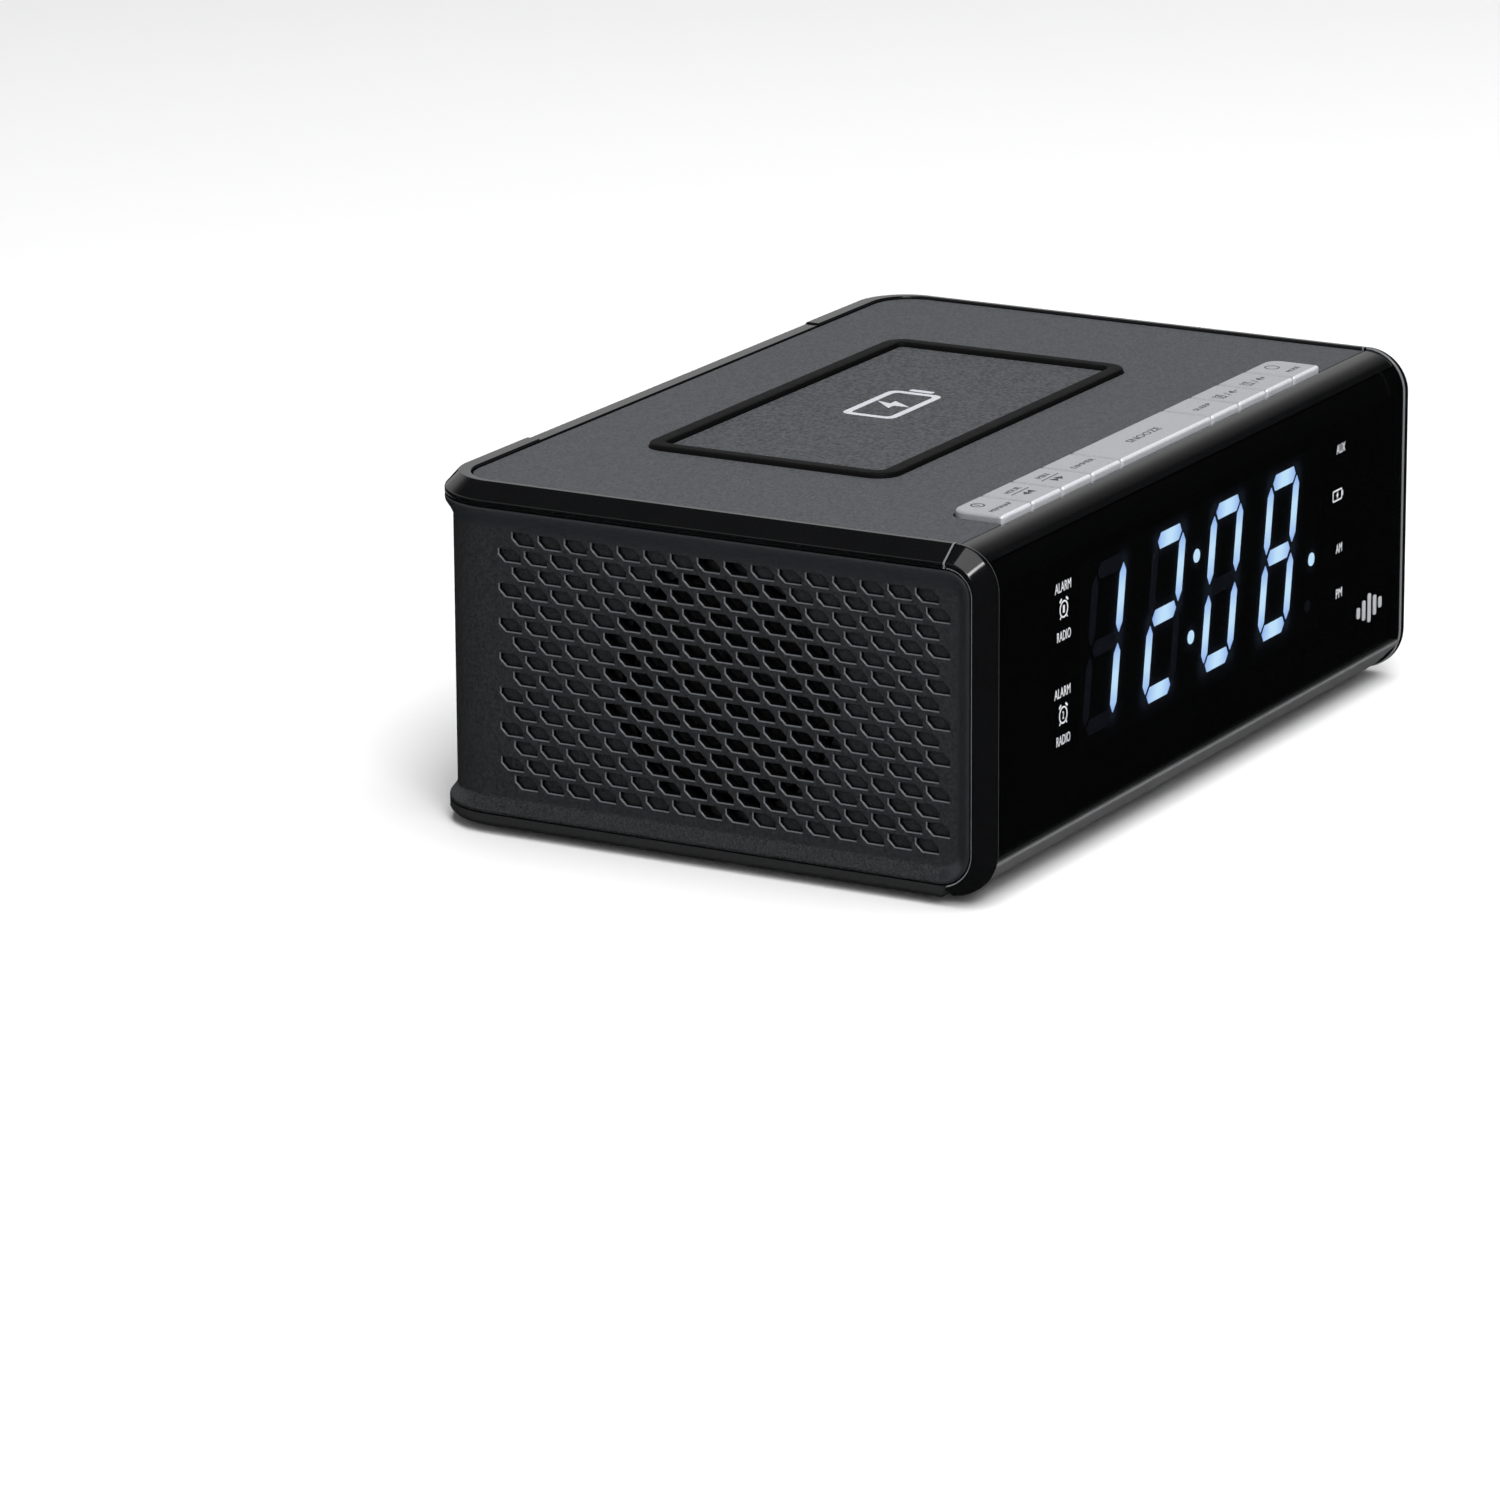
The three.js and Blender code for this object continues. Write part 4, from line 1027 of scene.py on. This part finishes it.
def add_screw(node):
    """A pan-head screw with a cross recess."""
    low, high = box_mm(node)
    middle, radius = round_mm(node)
    arm, width = radius * 0.62, 0.42
    corners = []
    for quarter in range(4):
        turn = Matrix.Rotation(math.pi / 2 * quarter, 2)
        corners += [tuple(turn @ Vector(p)) for p in ((arm, -width), (arm, width), (width, width))]
    cross = [(middle.x + x, middle.y + y) for x, y in corners]
    shell = Shell()
    head = circle((middle.x, middle.y), radius, 36)
    shell.prism(head, low.z, low.z + 1.2, upright, 0.05, 0.5, [cross], 4)
    core = [(0.01, low.z + 0.9), (arm + 0.2, low.z + 0.9), (1.3, low.z + 1.3)]
    core += [(1.3, high.z - 1.2), (0.01, high.z)]
    shell.lathe(core, (middle.x, middle.y, 0), steps=24)
    return shell.build(f"{node}_head", STEEL, stands_for=[node], slot="screw_steel")


# ---- Lettering and small signs, as thin prints ----

INK = 0.03


def word(shell, text, centre, size, place, level):
    """A word fitted into size, width and height, round centre."""
    curve = bpy.data.curves.new("word", "FONT")
    curve.body = text
    curve.extrude = 0.5
    curve.resolution_u = 3
    source = bpy.data.objects.new("word", curve)
    mesh = bpy.data.meshes.new_from_object(source)
    xs = [v.co.x for v in mesh.vertices]
    ys = [v.co.y for v in mesh.vertices]
    wide, tall = max(xs) - min(xs), max(ys) - min(ys)
    points = []
    for v in mesh.vertices:
        a = centre[0] + ((v.co.x - min(xs)) / wide - 0.5) * size[0]
        b = centre[1] + ((v.co.y - min(ys)) / tall - 0.5) * size[1]
        points.append(place(a, b, level + v.co.z * INK))
    shell.add(points, [tuple(p.vertices) for p in mesh.polygons])
    bpy.data.objects.remove(source)
    bpy.data.curves.remove(curve)
    bpy.data.meshes.remove(mesh)


def print_shape(shell, outline, place, level, holes=()):
    shell.prism(outline, level - INK / 2, level + INK / 2, place, 0, holes=holes)


def shifted(outline, centre, turn=0.0):
    spin = Matrix.Rotation(turn, 2)
    return [tuple(spin @ Vector(p) + Vector(centre)) for p in outline]


def bar(centre, length, width, turn=0.0):
    a, b = length / 2, width / 2
    return shifted(rectangle((-a, a), (-b, b), min(a, b) * 0.6, 2), centre, turn)


def print_ring(shell, centre, radius, line, place, level):
    print_shape(shell, circle(centre, radius, 28), place, level, [circle(centre, radius - line, 28)])


def print_power_sign(shell, centre, radius, place, level):
    print_ring(shell, centre, radius, radius * 0.2, place, level)
    stroke = bar((centre[0], centre[1] + radius * 0.1), radius * 0.9, radius * 0.2, math.pi / 2)
    print_shape(shell, stroke, place, level)


def print_alarm_sign(shell, centre, radius, number, place, level):
    """A small alarm clock: a ring with two bells and two feet, and a number in it."""
    x, y = centre
    print_ring(shell, centre, radius, radius * 0.19, place, level)
    for side in (-1, 1):
        lean = math.radians(90 - 36 * side)
        reach = radius * 1.3
        bell = (x + reach * math.cos(lean), y + reach * math.sin(lean))
        print_shape(shell, bar(bell, radius * 0.62, radius * 0.26, lean - math.pi / 2), place, level)
        lean = math.radians(-90 + 40 * side)
        foot = (x + radius * 1.12 * math.cos(lean), y + radius * 1.12 * math.sin(lean))
        print_shape(shell, bar(foot, radius * 0.5, radius * 0.18, lean), place, level)
    if number:
        word(shell, number, centre, (radius * 0.42, radius * 0.85), place, level)


def print_arrows(shell, centre, size, direction, place, level):
    """Two solid triangles one behind the other, pointing along x."""
    for i in (-1, 0):
        x = centre[0] + (i + 0.5) * size
        tip = x + direction * size / 2
        tail = x - direction * size / 2
        y, rise = centre[1], size * 0.55
        triangle = anticlockwise([(tip, y), (tail, y + rise), (tail, y - rise)])
        print_shape(shell, triangle, place, level)


def print_volume_sign(shell, centre, size, plus, place, level):
    x, y = centre
    cone = [(-0.8, -0.3), (-0.45, -0.3), (0, -0.75), (0, 0.75), (-0.45, 0.3), (-0.8, 0.3)]
    print_shape(shell, shifted([(a * size, b * size) for a, b in cone], centre), place, level)
    print_shape(shell, bar((x + size * 0.75, y), size * 0.7, size * 0.2), place, level)
    if plus:
        print_shape(shell, bar((x + size * 0.75, y), size * 0.7, size * 0.2, math.pi / 2), place, level)


def print_battery_sign(shell, centre, width, place, level):
    """A battery outline with a charging bolt in it."""
    x, y = centre
    a, b = width / 2, width * 0.27
    line = width * 0.07
    case = shifted(rectangle((-a, a), (-b, b), width * 0.09, 5), centre)
    hollow = shifted(rectangle((line - a, a - line), (line - b, b - line), width * 0.05, 5), centre)
    print_shape(shell, case, place, level, [hollow])
    print_shape(shell, bar((x + a + line, y), b * 0.9, line, math.pi / 2), place, level)
    bolt = [(-0.02, -0.19), (0.13, 0.035), (0.03, 0.035), (0.07, 0.19), (-0.13, -0.03), (-0.03, -0.03)]
    print_shape(shell, shifted([(p * width, q * width) for p, q in bolt], centre), place, level)


# ---- Keys ----

KEY_SHRINK = 0.06
KEY_EDGE = 0.58
KEY_CORNER = 0.65

# The key's finishes, by the mark its faces carry: the dark housing finish on the walls between keys is
# painted shade, and the lighter silver is a painted highlight.
KEY_FINISHES = [SILVER, HOUSING, SILVER_PAINTED_HIGHLIGHT]
KEY_SHADED_WALL_MARK, KEY_HIGHLIGHT_MARK = 1, 2


def mark_key_faces(shell, inner_sides):
    """Paints shade on the walls between neighbouring keys with the dark housing finish, and paints a
    highlight on the front edge with a lighter silver.
    """
    for number, face in enumerate(shell.faces):
        corners = [shell.points[i] for i in face]
        if any(all(abs(p[0] - x) < 0.02 for p in corners) for x in inner_sides):
            shell.marks[number] = KEY_SHADED_WALL_MARK
        elif all(p[1] < KEY_FRONT + 0.6 for p in corners):
            shell.marks[number] = KEY_HIGHLIGHT_MARK


def add_key(name):
    """A soft-edged cap with the lip that stops it under the lid and the stem over its switch."""
    low, high = box_mm(name)
    low.x += KEY_SHRINK
    high.x -= KEY_SHRINK
    outer_left = name == KEY_NAMES[0]
    outer_right = name == KEY_NAMES[-1]
    corners = [(low.x, KEY_FRONT), (high.x, KEY_FRONT), (high.x, KEY_BACK), (low.x, KEY_BACK)]
    radii = [
        1.0 if outer_left else KEY_CORNER, 1.0 if outer_right else KEY_CORNER,
        3.0 if outer_right else KEY_CORNER, 3.0 if outer_left else KEY_CORNER,
    ]
    cap_foot = TOP - 4.4
    shell = Shell()
    shell.prism(rounded(corners, radii, 6), cap_foot, KEY_TOP, upright, KEY_EDGE, 0, steps=5)
    inner_sides = [x for x, is_end in ((low.x, outer_left), (high.x, outer_right)) if not is_end]
    mark_key_faces(shell, inner_sides)
    lip = rectangle((low.x + 1, high.x - 1), (KEY_BACK - 2, high.y), 0.3, 2)
    shell.prism(lip, cap_foot, PANEL_UNDERSIDE - GAP, upright, 0.1)
    middle = (low.x + high.x) / 2
    stem = [(0.01, low.z), (1.5, low.z), (1.5, cap_foot + 0.5), (0.01, cap_foot + 0.5)]
    shell.lathe(stem, (middle, KEY_FRONT + 7.4, 0), steps=20)
    return shell.build(f"{name}_cap", KEY_FINISHES, name, [name], "key_silver")


def add_key_legend(name, draw):
    """Prints drawn round the middle of a key's top."""
    low, high = box_mm(name)
    middle = ((low.x + high.x) / 2, (KEY_FRONT + KEY_BACK) / 2)
    shell = Shell()
    draw(shell, middle, upright, KEY_TOP + INK / 2)
    return shell.build(f"{name}_legend", LEGEND, name, slot="key_legend")


def two_rows(text, direction):
    """A word behind, a rule, and a pair of arrows in front."""
    def draw(shell, middle, place, level):
        x, y = middle
        word(shell, text, (x, y + 1.9), (1.3 * len(text), 1.25), place, level)
        print_shape(shell, bar((x, y + 0.35), 6.6, 0.22), place, level)
        print_arrows(shell, (x, y - 1.3), 1.7, direction, place, level)
    return draw


def one_word(text, width, height):
    def draw(shell, middle, place, level):
        word(shell, text, (middle[0], middle[1] - 0.3), (width, height), place, level)
    return draw


def power_legend(shell, middle, place, level):
    x, y = middle
    print_power_sign(shell, (x - 0.6, y + 2.4), 1.35, place, level)
    word(shell, "MEM/NAP", (x + 0.2, y - 1.8), (7.6, 1.1), place, level)


def alarm_legend(number, plus):
    def draw(shell, middle, place, level):
        x, y = middle
        print_alarm_sign(shell, (x - 2.9, y + 0.2), 1.15, number, place, level)
        print_shape(shell, bar((x - 0.3, y), 2.2, 0.2, math.radians(65)), place, level)
        print_volume_sign(shell, (x + 2.1, y), 1.3, plus, place, level)
    return draw


def mode_legend(shell, middle, place, level):
    x, y = middle
    print_ring(shell, (x - 0.4, y + 2.0), 1.5, 0.24, place, level)
    word(shell, "MODE", (x + 0.2, y - 2.2), (4.8, 1.1), place, level)


LEGENDS = {
    "power_key": power_legend,
    "hour_key": two_rows("HOUR", -1),
    "minute_key": two_rows("MIN", 1),
    "dimmer_key": one_word("DIMMER", 8.2, 1.15),
    "snooze_key": one_word("SNOOZE", 12.6, 1.6),
    "sleep_key": one_word("SLEEP", 6.4, 1.15),
    "alarm_one_key": alarm_legend("1", False),
    "alarm_two_key": alarm_legend("2", True),
    "mode_key": mode_legend,
}


# ---- Display ----

DIGIT_PITCH = 24.57
THIRD_DIGIT_X = 8.85
DIGIT_Z = 37.5
SLANT = 0.149
DIGIT_HALF_WIDTH = 5.6
DIGIT_HALF_HEIGHT = 14.3
FLAT_WIDTH = 3.0
UPRIGHT_WIDTH = 2.4
DOT_RADIUS = 1.3
LED_LEVEL = -led_low.y
LENS_LEVEL = -(FRONT + GAP)
SHOWN = ["bc", "abdeg", "abcdef", "abcdefg"]
DOTS = {"colon_upper": (-2.2, 45.4), "colon_lower": (-4.35, 30.2), "morning": (48.15, 33.0)}

# Where each segment of an upright digit starts and ends.
FLAT_REACH = 4.85
UPRIGHT_START, UPRIGHT_END = 1.05, 13.75
SEGMENTS = {
    "a": ((-FLAT_REACH, DIGIT_HALF_HEIGHT), (FLAT_REACH, DIGIT_HALF_HEIGHT)),
    "g": ((-FLAT_REACH, 0), (FLAT_REACH, 0)),
    "d": ((-FLAT_REACH, -DIGIT_HALF_HEIGHT), (FLAT_REACH, -DIGIT_HALF_HEIGHT)),
    "b": ((DIGIT_HALF_WIDTH, UPRIGHT_START), (DIGIT_HALF_WIDTH, UPRIGHT_END)),
    "f": ((-DIGIT_HALF_WIDTH, UPRIGHT_START), (-DIGIT_HALF_WIDTH, UPRIGHT_END)),
    "c": ((DIGIT_HALF_WIDTH, -UPRIGHT_END), (DIGIT_HALF_WIDTH, -UPRIGHT_START)),
    "e": ((-DIGIT_HALF_WIDTH, -UPRIGHT_END), (-DIGIT_HALF_WIDTH, -UPRIGHT_START)),
}


def on_digit(index, x, z):
    """A point of an upright digit, slanted and moved to its place on the display."""
    return (THIRD_DIGIT_X + DIGIT_PITCH * (index - 2) + x + SLANT * z, DIGIT_Z + z)


def add_segment(shell, index, letter, level, thick=0.12):
    """A long six-sided bar, brightest in the middle of its length."""
    start, end = (Vector(point) for point in SEGMENTS[letter])
    along = (end - start).normalized()
    beside = Vector((-along.y, along.x)) * (UPRIGHT_WIDTH if along.y else FLAT_WIDTH) / 2
    taper = 1.7 if along.y else 1.05
    middle = (start + end) / 2
    spine = [(start, 0.0, 0.0), (start + along * taper, 1.0, 0.35), (middle, 1.0, 1.0),
             (end - along * taper, 1.0, 0.35), (end, 0.0, 0.0)]
    points, glow = [], []
    for height in (level, level + thick):
        for at, spread, shine in spine:
            for side in (-1, 0, 1):
                x, z = on_digit(index, *(at + beside * spread * side))
                points.append(facing_front(x, z, height))
                glow.append(shine)
    faces = []
    for i in range(4):
        for k in range(2):
            a = 3 * i + k
            faces.append((15 + a, 16 + a, 19 + a, 18 + a))
            faces.append((a + 3, a + 4, a + 1, a))
        for k in (0, 2):
            a = 3 * i + k
            faces.append((a, a + 3, a + 18, a + 15))
    shell.add(points, faces, glow)


def add_dot(shell, centre, radius, level, thick=0.12):
    rim = circle(centre, radius, 24)
    points = [facing_front(x, z, h) for h in (level, level + thick) for x, z in [*rim, centre]]
    faces = []
    for i in range(24):
        j = (i + 1) % 24
        faces += [(i, j, 24), (25 + i, 25 + j, 49), (i, j, 25 + j, 25 + i)]
    shell.add(points, faces, ([0.9] * 24 + [1.3]) * 2)


def add_digits():
    lit, unlit = Shell(), Shell()
    for index, shown in enumerate(SHOWN):
        for letter in SEGMENTS:
            add_segment(lit if letter in shown else unlit, index, letter, LED_LEVEL)
    for centre in DOTS.values():
        add_dot(lit, centre, DOT_RADIUS, LED_LEVEL)
    add_dot(unlit, (46.6, 24.0), 1.2, LED_LEVEL)
    lit.build("led_segments_lit", LIT, slot="led_light")
    unlit.build("led_segments_unlit", GHOST_PAINTED_GLOW, slot="led_light")


def glow_at(x, z):
    """How much light from the lit segments spills on a point of the display's face."""
    total = 0
    for index, shown in enumerate(SHOWN):
        for letter in shown:
            start, end = (Vector(on_digit(index, *point)) for point in SEGMENTS[letter])
            along = end - start
            share = min(1, max(0, (Vector((x, z)) - start).dot(along) / along.length_squared))
            away = (Vector((x, z)) - start - along * share).length - UPRIGHT_WIDTH / 2
            total += math.exp(-max(0, away) / 0.8)
    for centre in DOTS.values():
        away = (Vector((x, z)) - Vector(centre)).length - DOT_RADIUS
        total += math.exp(-max(0, away) / 0.6)
    return min(1, total)


def add_led_module():
    """The display's housing; its face carries the faint spill of light round the digits."""
    columns, lines = 150, 56
    xs = [led_low.x + (led_high.x - led_low.x) * i / columns for i in range(columns + 1)]
    zs = [led_low.z + (led_high.z - led_low.z) * i / lines for i in range(lines + 1)]
    shell = Shell()
    shell.mark = 1
    points = [(x, led_low.y, z) for z in zs for x in xs]
    row = columns + 1
    faces = [(j * row + i, j * row + i + 1, (j + 1) * row + i + 1, (j + 1) * row + i)
             for j in range(lines) for i in range(columns)]
    shell.add(points, faces, [glow_at(x, z) for z in zs for x in xs])
    shell.mark = 0
    edge = [(x, zs[0]) for x in xs] + [(xs[-1], z) for z in zs[1:]]
    edge += [(x, zs[-1]) for x in reversed(xs[:-1])] + [(xs[0], z) for z in reversed(zs[1:-1])]
    shell.loft([[(x, y, z) for x, z in edge] for y in (led_low.y, led_high.y)])
    shell.sheet([edge[0], edge[columns], edge[columns + lines], edge[2 * columns + lines]], [],
                facing_back, led_high.y)
    return shell.build("led_module_block", [HOUSING, HALO], stands_for=["led_module"], slot="led_housing")


LABEL_WIDTHS = {"ALARM": 6.3, "RADIO": 5.4, "AUX": 3.9, "AM": 2.7, "PM": 2.7}


def add_face_prints():
    shell = Shell()
    level = LENS_LEVEL + INK / 2
    labels = {
        "ALARM": [(-60.5, 53.5), (-60.5, 33.8)], "RADIO": [(-60.0, 44.3), (-60.0, 24.8)],
        "AUX": [(57.1, 53.25)], "AM": [(56.9, 33.45)], "PM": [(57.2, 24.4)],
    }
    for text, places in labels.items():
        for centre in places:
            word(shell, text, centre, (LABEL_WIDTHS[text], 1.85), facing_front, level)
    for number, z in (("1", 49.2), ("2", 29.4)):
        print_alarm_sign(shell, (-60.1, z), 1.65, number, facing_front, level)
    print_battery_sign(shell, (55.8, 44.2), 4.2, facing_front, level)
    shell.build("face_labels", PRINT_WITH_PAINTED_GLOW, slot="face_print")
    badge = Shell()
    for i, height in enumerate((2.2, 4.0, 5.8, 4.0, 2.2)):
        outline = bar((71.2 + 2.5 * (i - 2), 18.1), height, 1.25, math.pi / 2)
        badge.prism(outline, LENS_LEVEL - 0.02, LENS_LEVEL + 0.2, facing_front, 0.08, 0)
    badge.build("level_bars_badge", BADGE, slot="face_print")


def add_pad_print():
    shell = Shell()
    centre = (2.3, 9.8)
    print_battery_sign(shell, centre, 21, upright, PANEL_TOP + INK / 2)
    return shell.build("charging_sign", PAD_PRINT, slot="face_print")


# ---- Frame nodes that stay, with their finishes ----

KEPT_NODES = [
    (BOARD, "circuit_board", ("key_board", "display_board", "charger_board", "main_board")),
    (DARK_STEEL, "speaker_basket", ("speaker_basket_left", "speaker_basket_right")),
    (CONE, "speaker_cone", ("speaker_cone_left", "speaker_cone_right")),
    (FERRITE, "ferrite", ("speaker_magnet_left", "speaker_magnet_right")),
    (FERRITE, "ferrite", ("ferrite_sheet", "am_ferrite_rod")),
    (COPPER, "copper_winding", ("charging_coil", "am_aerial_coil")),
    (STEEL, "socket_steel", ("usb_socket", "battery_contact_left", "battery_contact_right")),
    (SOCKET, "socket_plastic", ("aux_socket", "power_socket")),
    (RUBBER, "socket_plastic", ("fm_aerial_gland",)),
    (UNDERSIDE, "base_moulding", ("battery_bay",)),
    (CELL, "cell_wrap", ("backup_cell_front", "backup_cell_rear")),
]


def finish_kept_nodes():
    for finish, slot, names in KEPT_NODES:
        for name in names:
            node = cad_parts[name]
            node.data.materials.clear()
            node.data.materials.append(finish)


# ---- Camera, floor and light ----

def add_camera():
    """The photograph's view, from a camera fitted to the radio's edges."""
    yaw, pitch, roll = (math.radians(a) for a in (60.62, 16.19, -0.35))
    ahead = Vector((math.sin(yaw) * math.cos(pitch), math.cos(yaw) * math.cos(pitch), -math.sin(pitch)))
    right = ahead.cross(Vector((0, 0, 1))).normalized()
    up = right.cross(ahead)
    turn = Matrix.Rotation(roll, 3, -ahead)
    right, up = turn @ right, turn @ up
    camera = bpy.data.objects.new("camera", bpy.data.cameras.new("camera"))
    camera.matrix_world = Matrix((right, up, -ahead)).transposed().to_4x4()
    camera.location = (-1.2378, -0.6569, 0.4048 + BASE * MM)
    camera.data.lens = 182.67
    camera.data.sensor_width = 36
    camera.data.clip_start = 0.05
    camera.data.clip_end = 50
    bpy.context.scene.collection.objects.link(camera)
    bpy.context.scene.camera = camera


FLOOR_HALF = 12


def add_floor():
    mesh = bpy.data.meshes.new("floor")
    corners = [(x, y, 0) for x, y in rectangle((-FLOOR_HALF, FLOOR_HALF), (-FLOOR_HALF, FLOOR_HALF))]
    mesh.from_pydata(corners, [], [(0, 1, 2, 3)])
    floor = bpy.data.objects.new("floor", mesh)
    bpy.context.scene.collection.objects.link(floor)
    paint = Finish("pale_floor", (0.9, 0.9, 0.9), 0.9)
    paint.colour_by(paint.noise(900), (0.89, 0.89, 0.89), (0.91, 0.91, 0.91))
    mesh.materials.append(paint.material)
    floor.visible_glossy = False


def add_softbox(name, place, size, power, target=(0, 0, 0.04)):
    lamp = bpy.data.lights.new(name, "AREA")
    lamp.shape = "RECTANGLE"
    lamp.size, lamp.size_y = size
    lamp.energy = power
    box = bpy.data.objects.new(name, lamp)
    box.location = place
    box.rotation_euler = (Vector(target) - Vector(place)).to_track_quat("-Z", "Y").to_euler()
    bpy.context.scene.collection.objects.link(box)
    return box


def add_world():
    """A bright low horizon behind the radio, dark overhead, underneath and in front."""
    world = bpy.data.worlds.new("studio")
    world.use_nodes = True
    tree = world.node_tree
    backdrop = tree.nodes["Background"]
    where = tree.nodes.new("ShaderNodeTexCoord")
    split = tree.nodes.new("ShaderNodeSeparateXYZ")
    height = tree.nodes.new("ShaderNodeValToRGB")
    behind = tree.nodes.new("ShaderNodeMapRange")
    blend = tree.nodes.new("ShaderNodeMix")
    blend.data_type = "RGBA"
    tree.links.new(where.outputs["Generated"], split.inputs["Vector"])
    tree.links.new(split.outputs["Z"], height.inputs["Fac"])
    tree.links.new(split.outputs["Y"], behind.inputs["Value"])
    behind.inputs["From Min"].default_value = -0.15
    behind.inputs["From Max"].default_value = 0.2
    blend.inputs["A"].default_value = (0.008, 0.008, 0.008, 1)
    tree.links.new(behind.outputs["Result"], blend.inputs["Factor"])
    tree.links.new(height.outputs["Color"], blend.inputs["B"])
    tree.links.new(blend.outputs["Result"], backdrop.inputs["Color"])
    stops = height.color_ramp.elements
    stops[0].position, stops[0].color = 0.0, (0.01, 0.01, 0.01, 1)
    stops[1].position, stops[1].color = 1.0, (0.03, 0.03, 0.03, 1)
    for position, level in ((0.02, 0.5), (0.4, 0.5), (0.54, 0.12), (0.62, 0.03)):
        stops.new(position).color = (level, level, level * 1.01, 1)
    bpy.context.scene.world = world


def light_the_scene():
    add_world()
    add_softbox("key_light", (-0.5, -0.36, 1.5), (1.0, 1.2), 6)
    add_softbox("grille_light", (-0.95, -0.85, 1.2), (0.55, 0.55), 9)
    add_softbox("fill_light", (-1.6, -1.4, 0.9), (1.2, 1.2), 14).visible_glossy = False
    add_softbox("top_light", (0.1, -0.45, 2.0), (2.2, 2.2), 52).visible_glossy = False
    bpy.context.scene.view_settings.view_transform = "Standard"


# ---- The whole radio ----

add_camera()
add_floor()
light_the_scene()
add_front_bezel()
add_display_lens()
add_lens_mask()
add_top_panel()
add_pad_ring()
add_pad_print()
for side, hand in ((-1, "left"), (1, "right")):
    add_side_rim(side, f"side_rim_{hand}")
    add_side_panel(side, f"side_grille_{hand}")
add_rear_cover()
add_socket_bezels()
add_bottom_cover()
add_battery_door()
for corner in CORNERS:
    add_foot(f"foot_{corner}")
    add_screw(f"case_screw_{corner}")
for key_name in KEY_NAMES:
    add_key(key_name)
    add_key_legend(key_name, LEGENDS[key_name])
add_led_module()
add_digits()
add_face_prints()
finish_kept_nodes()
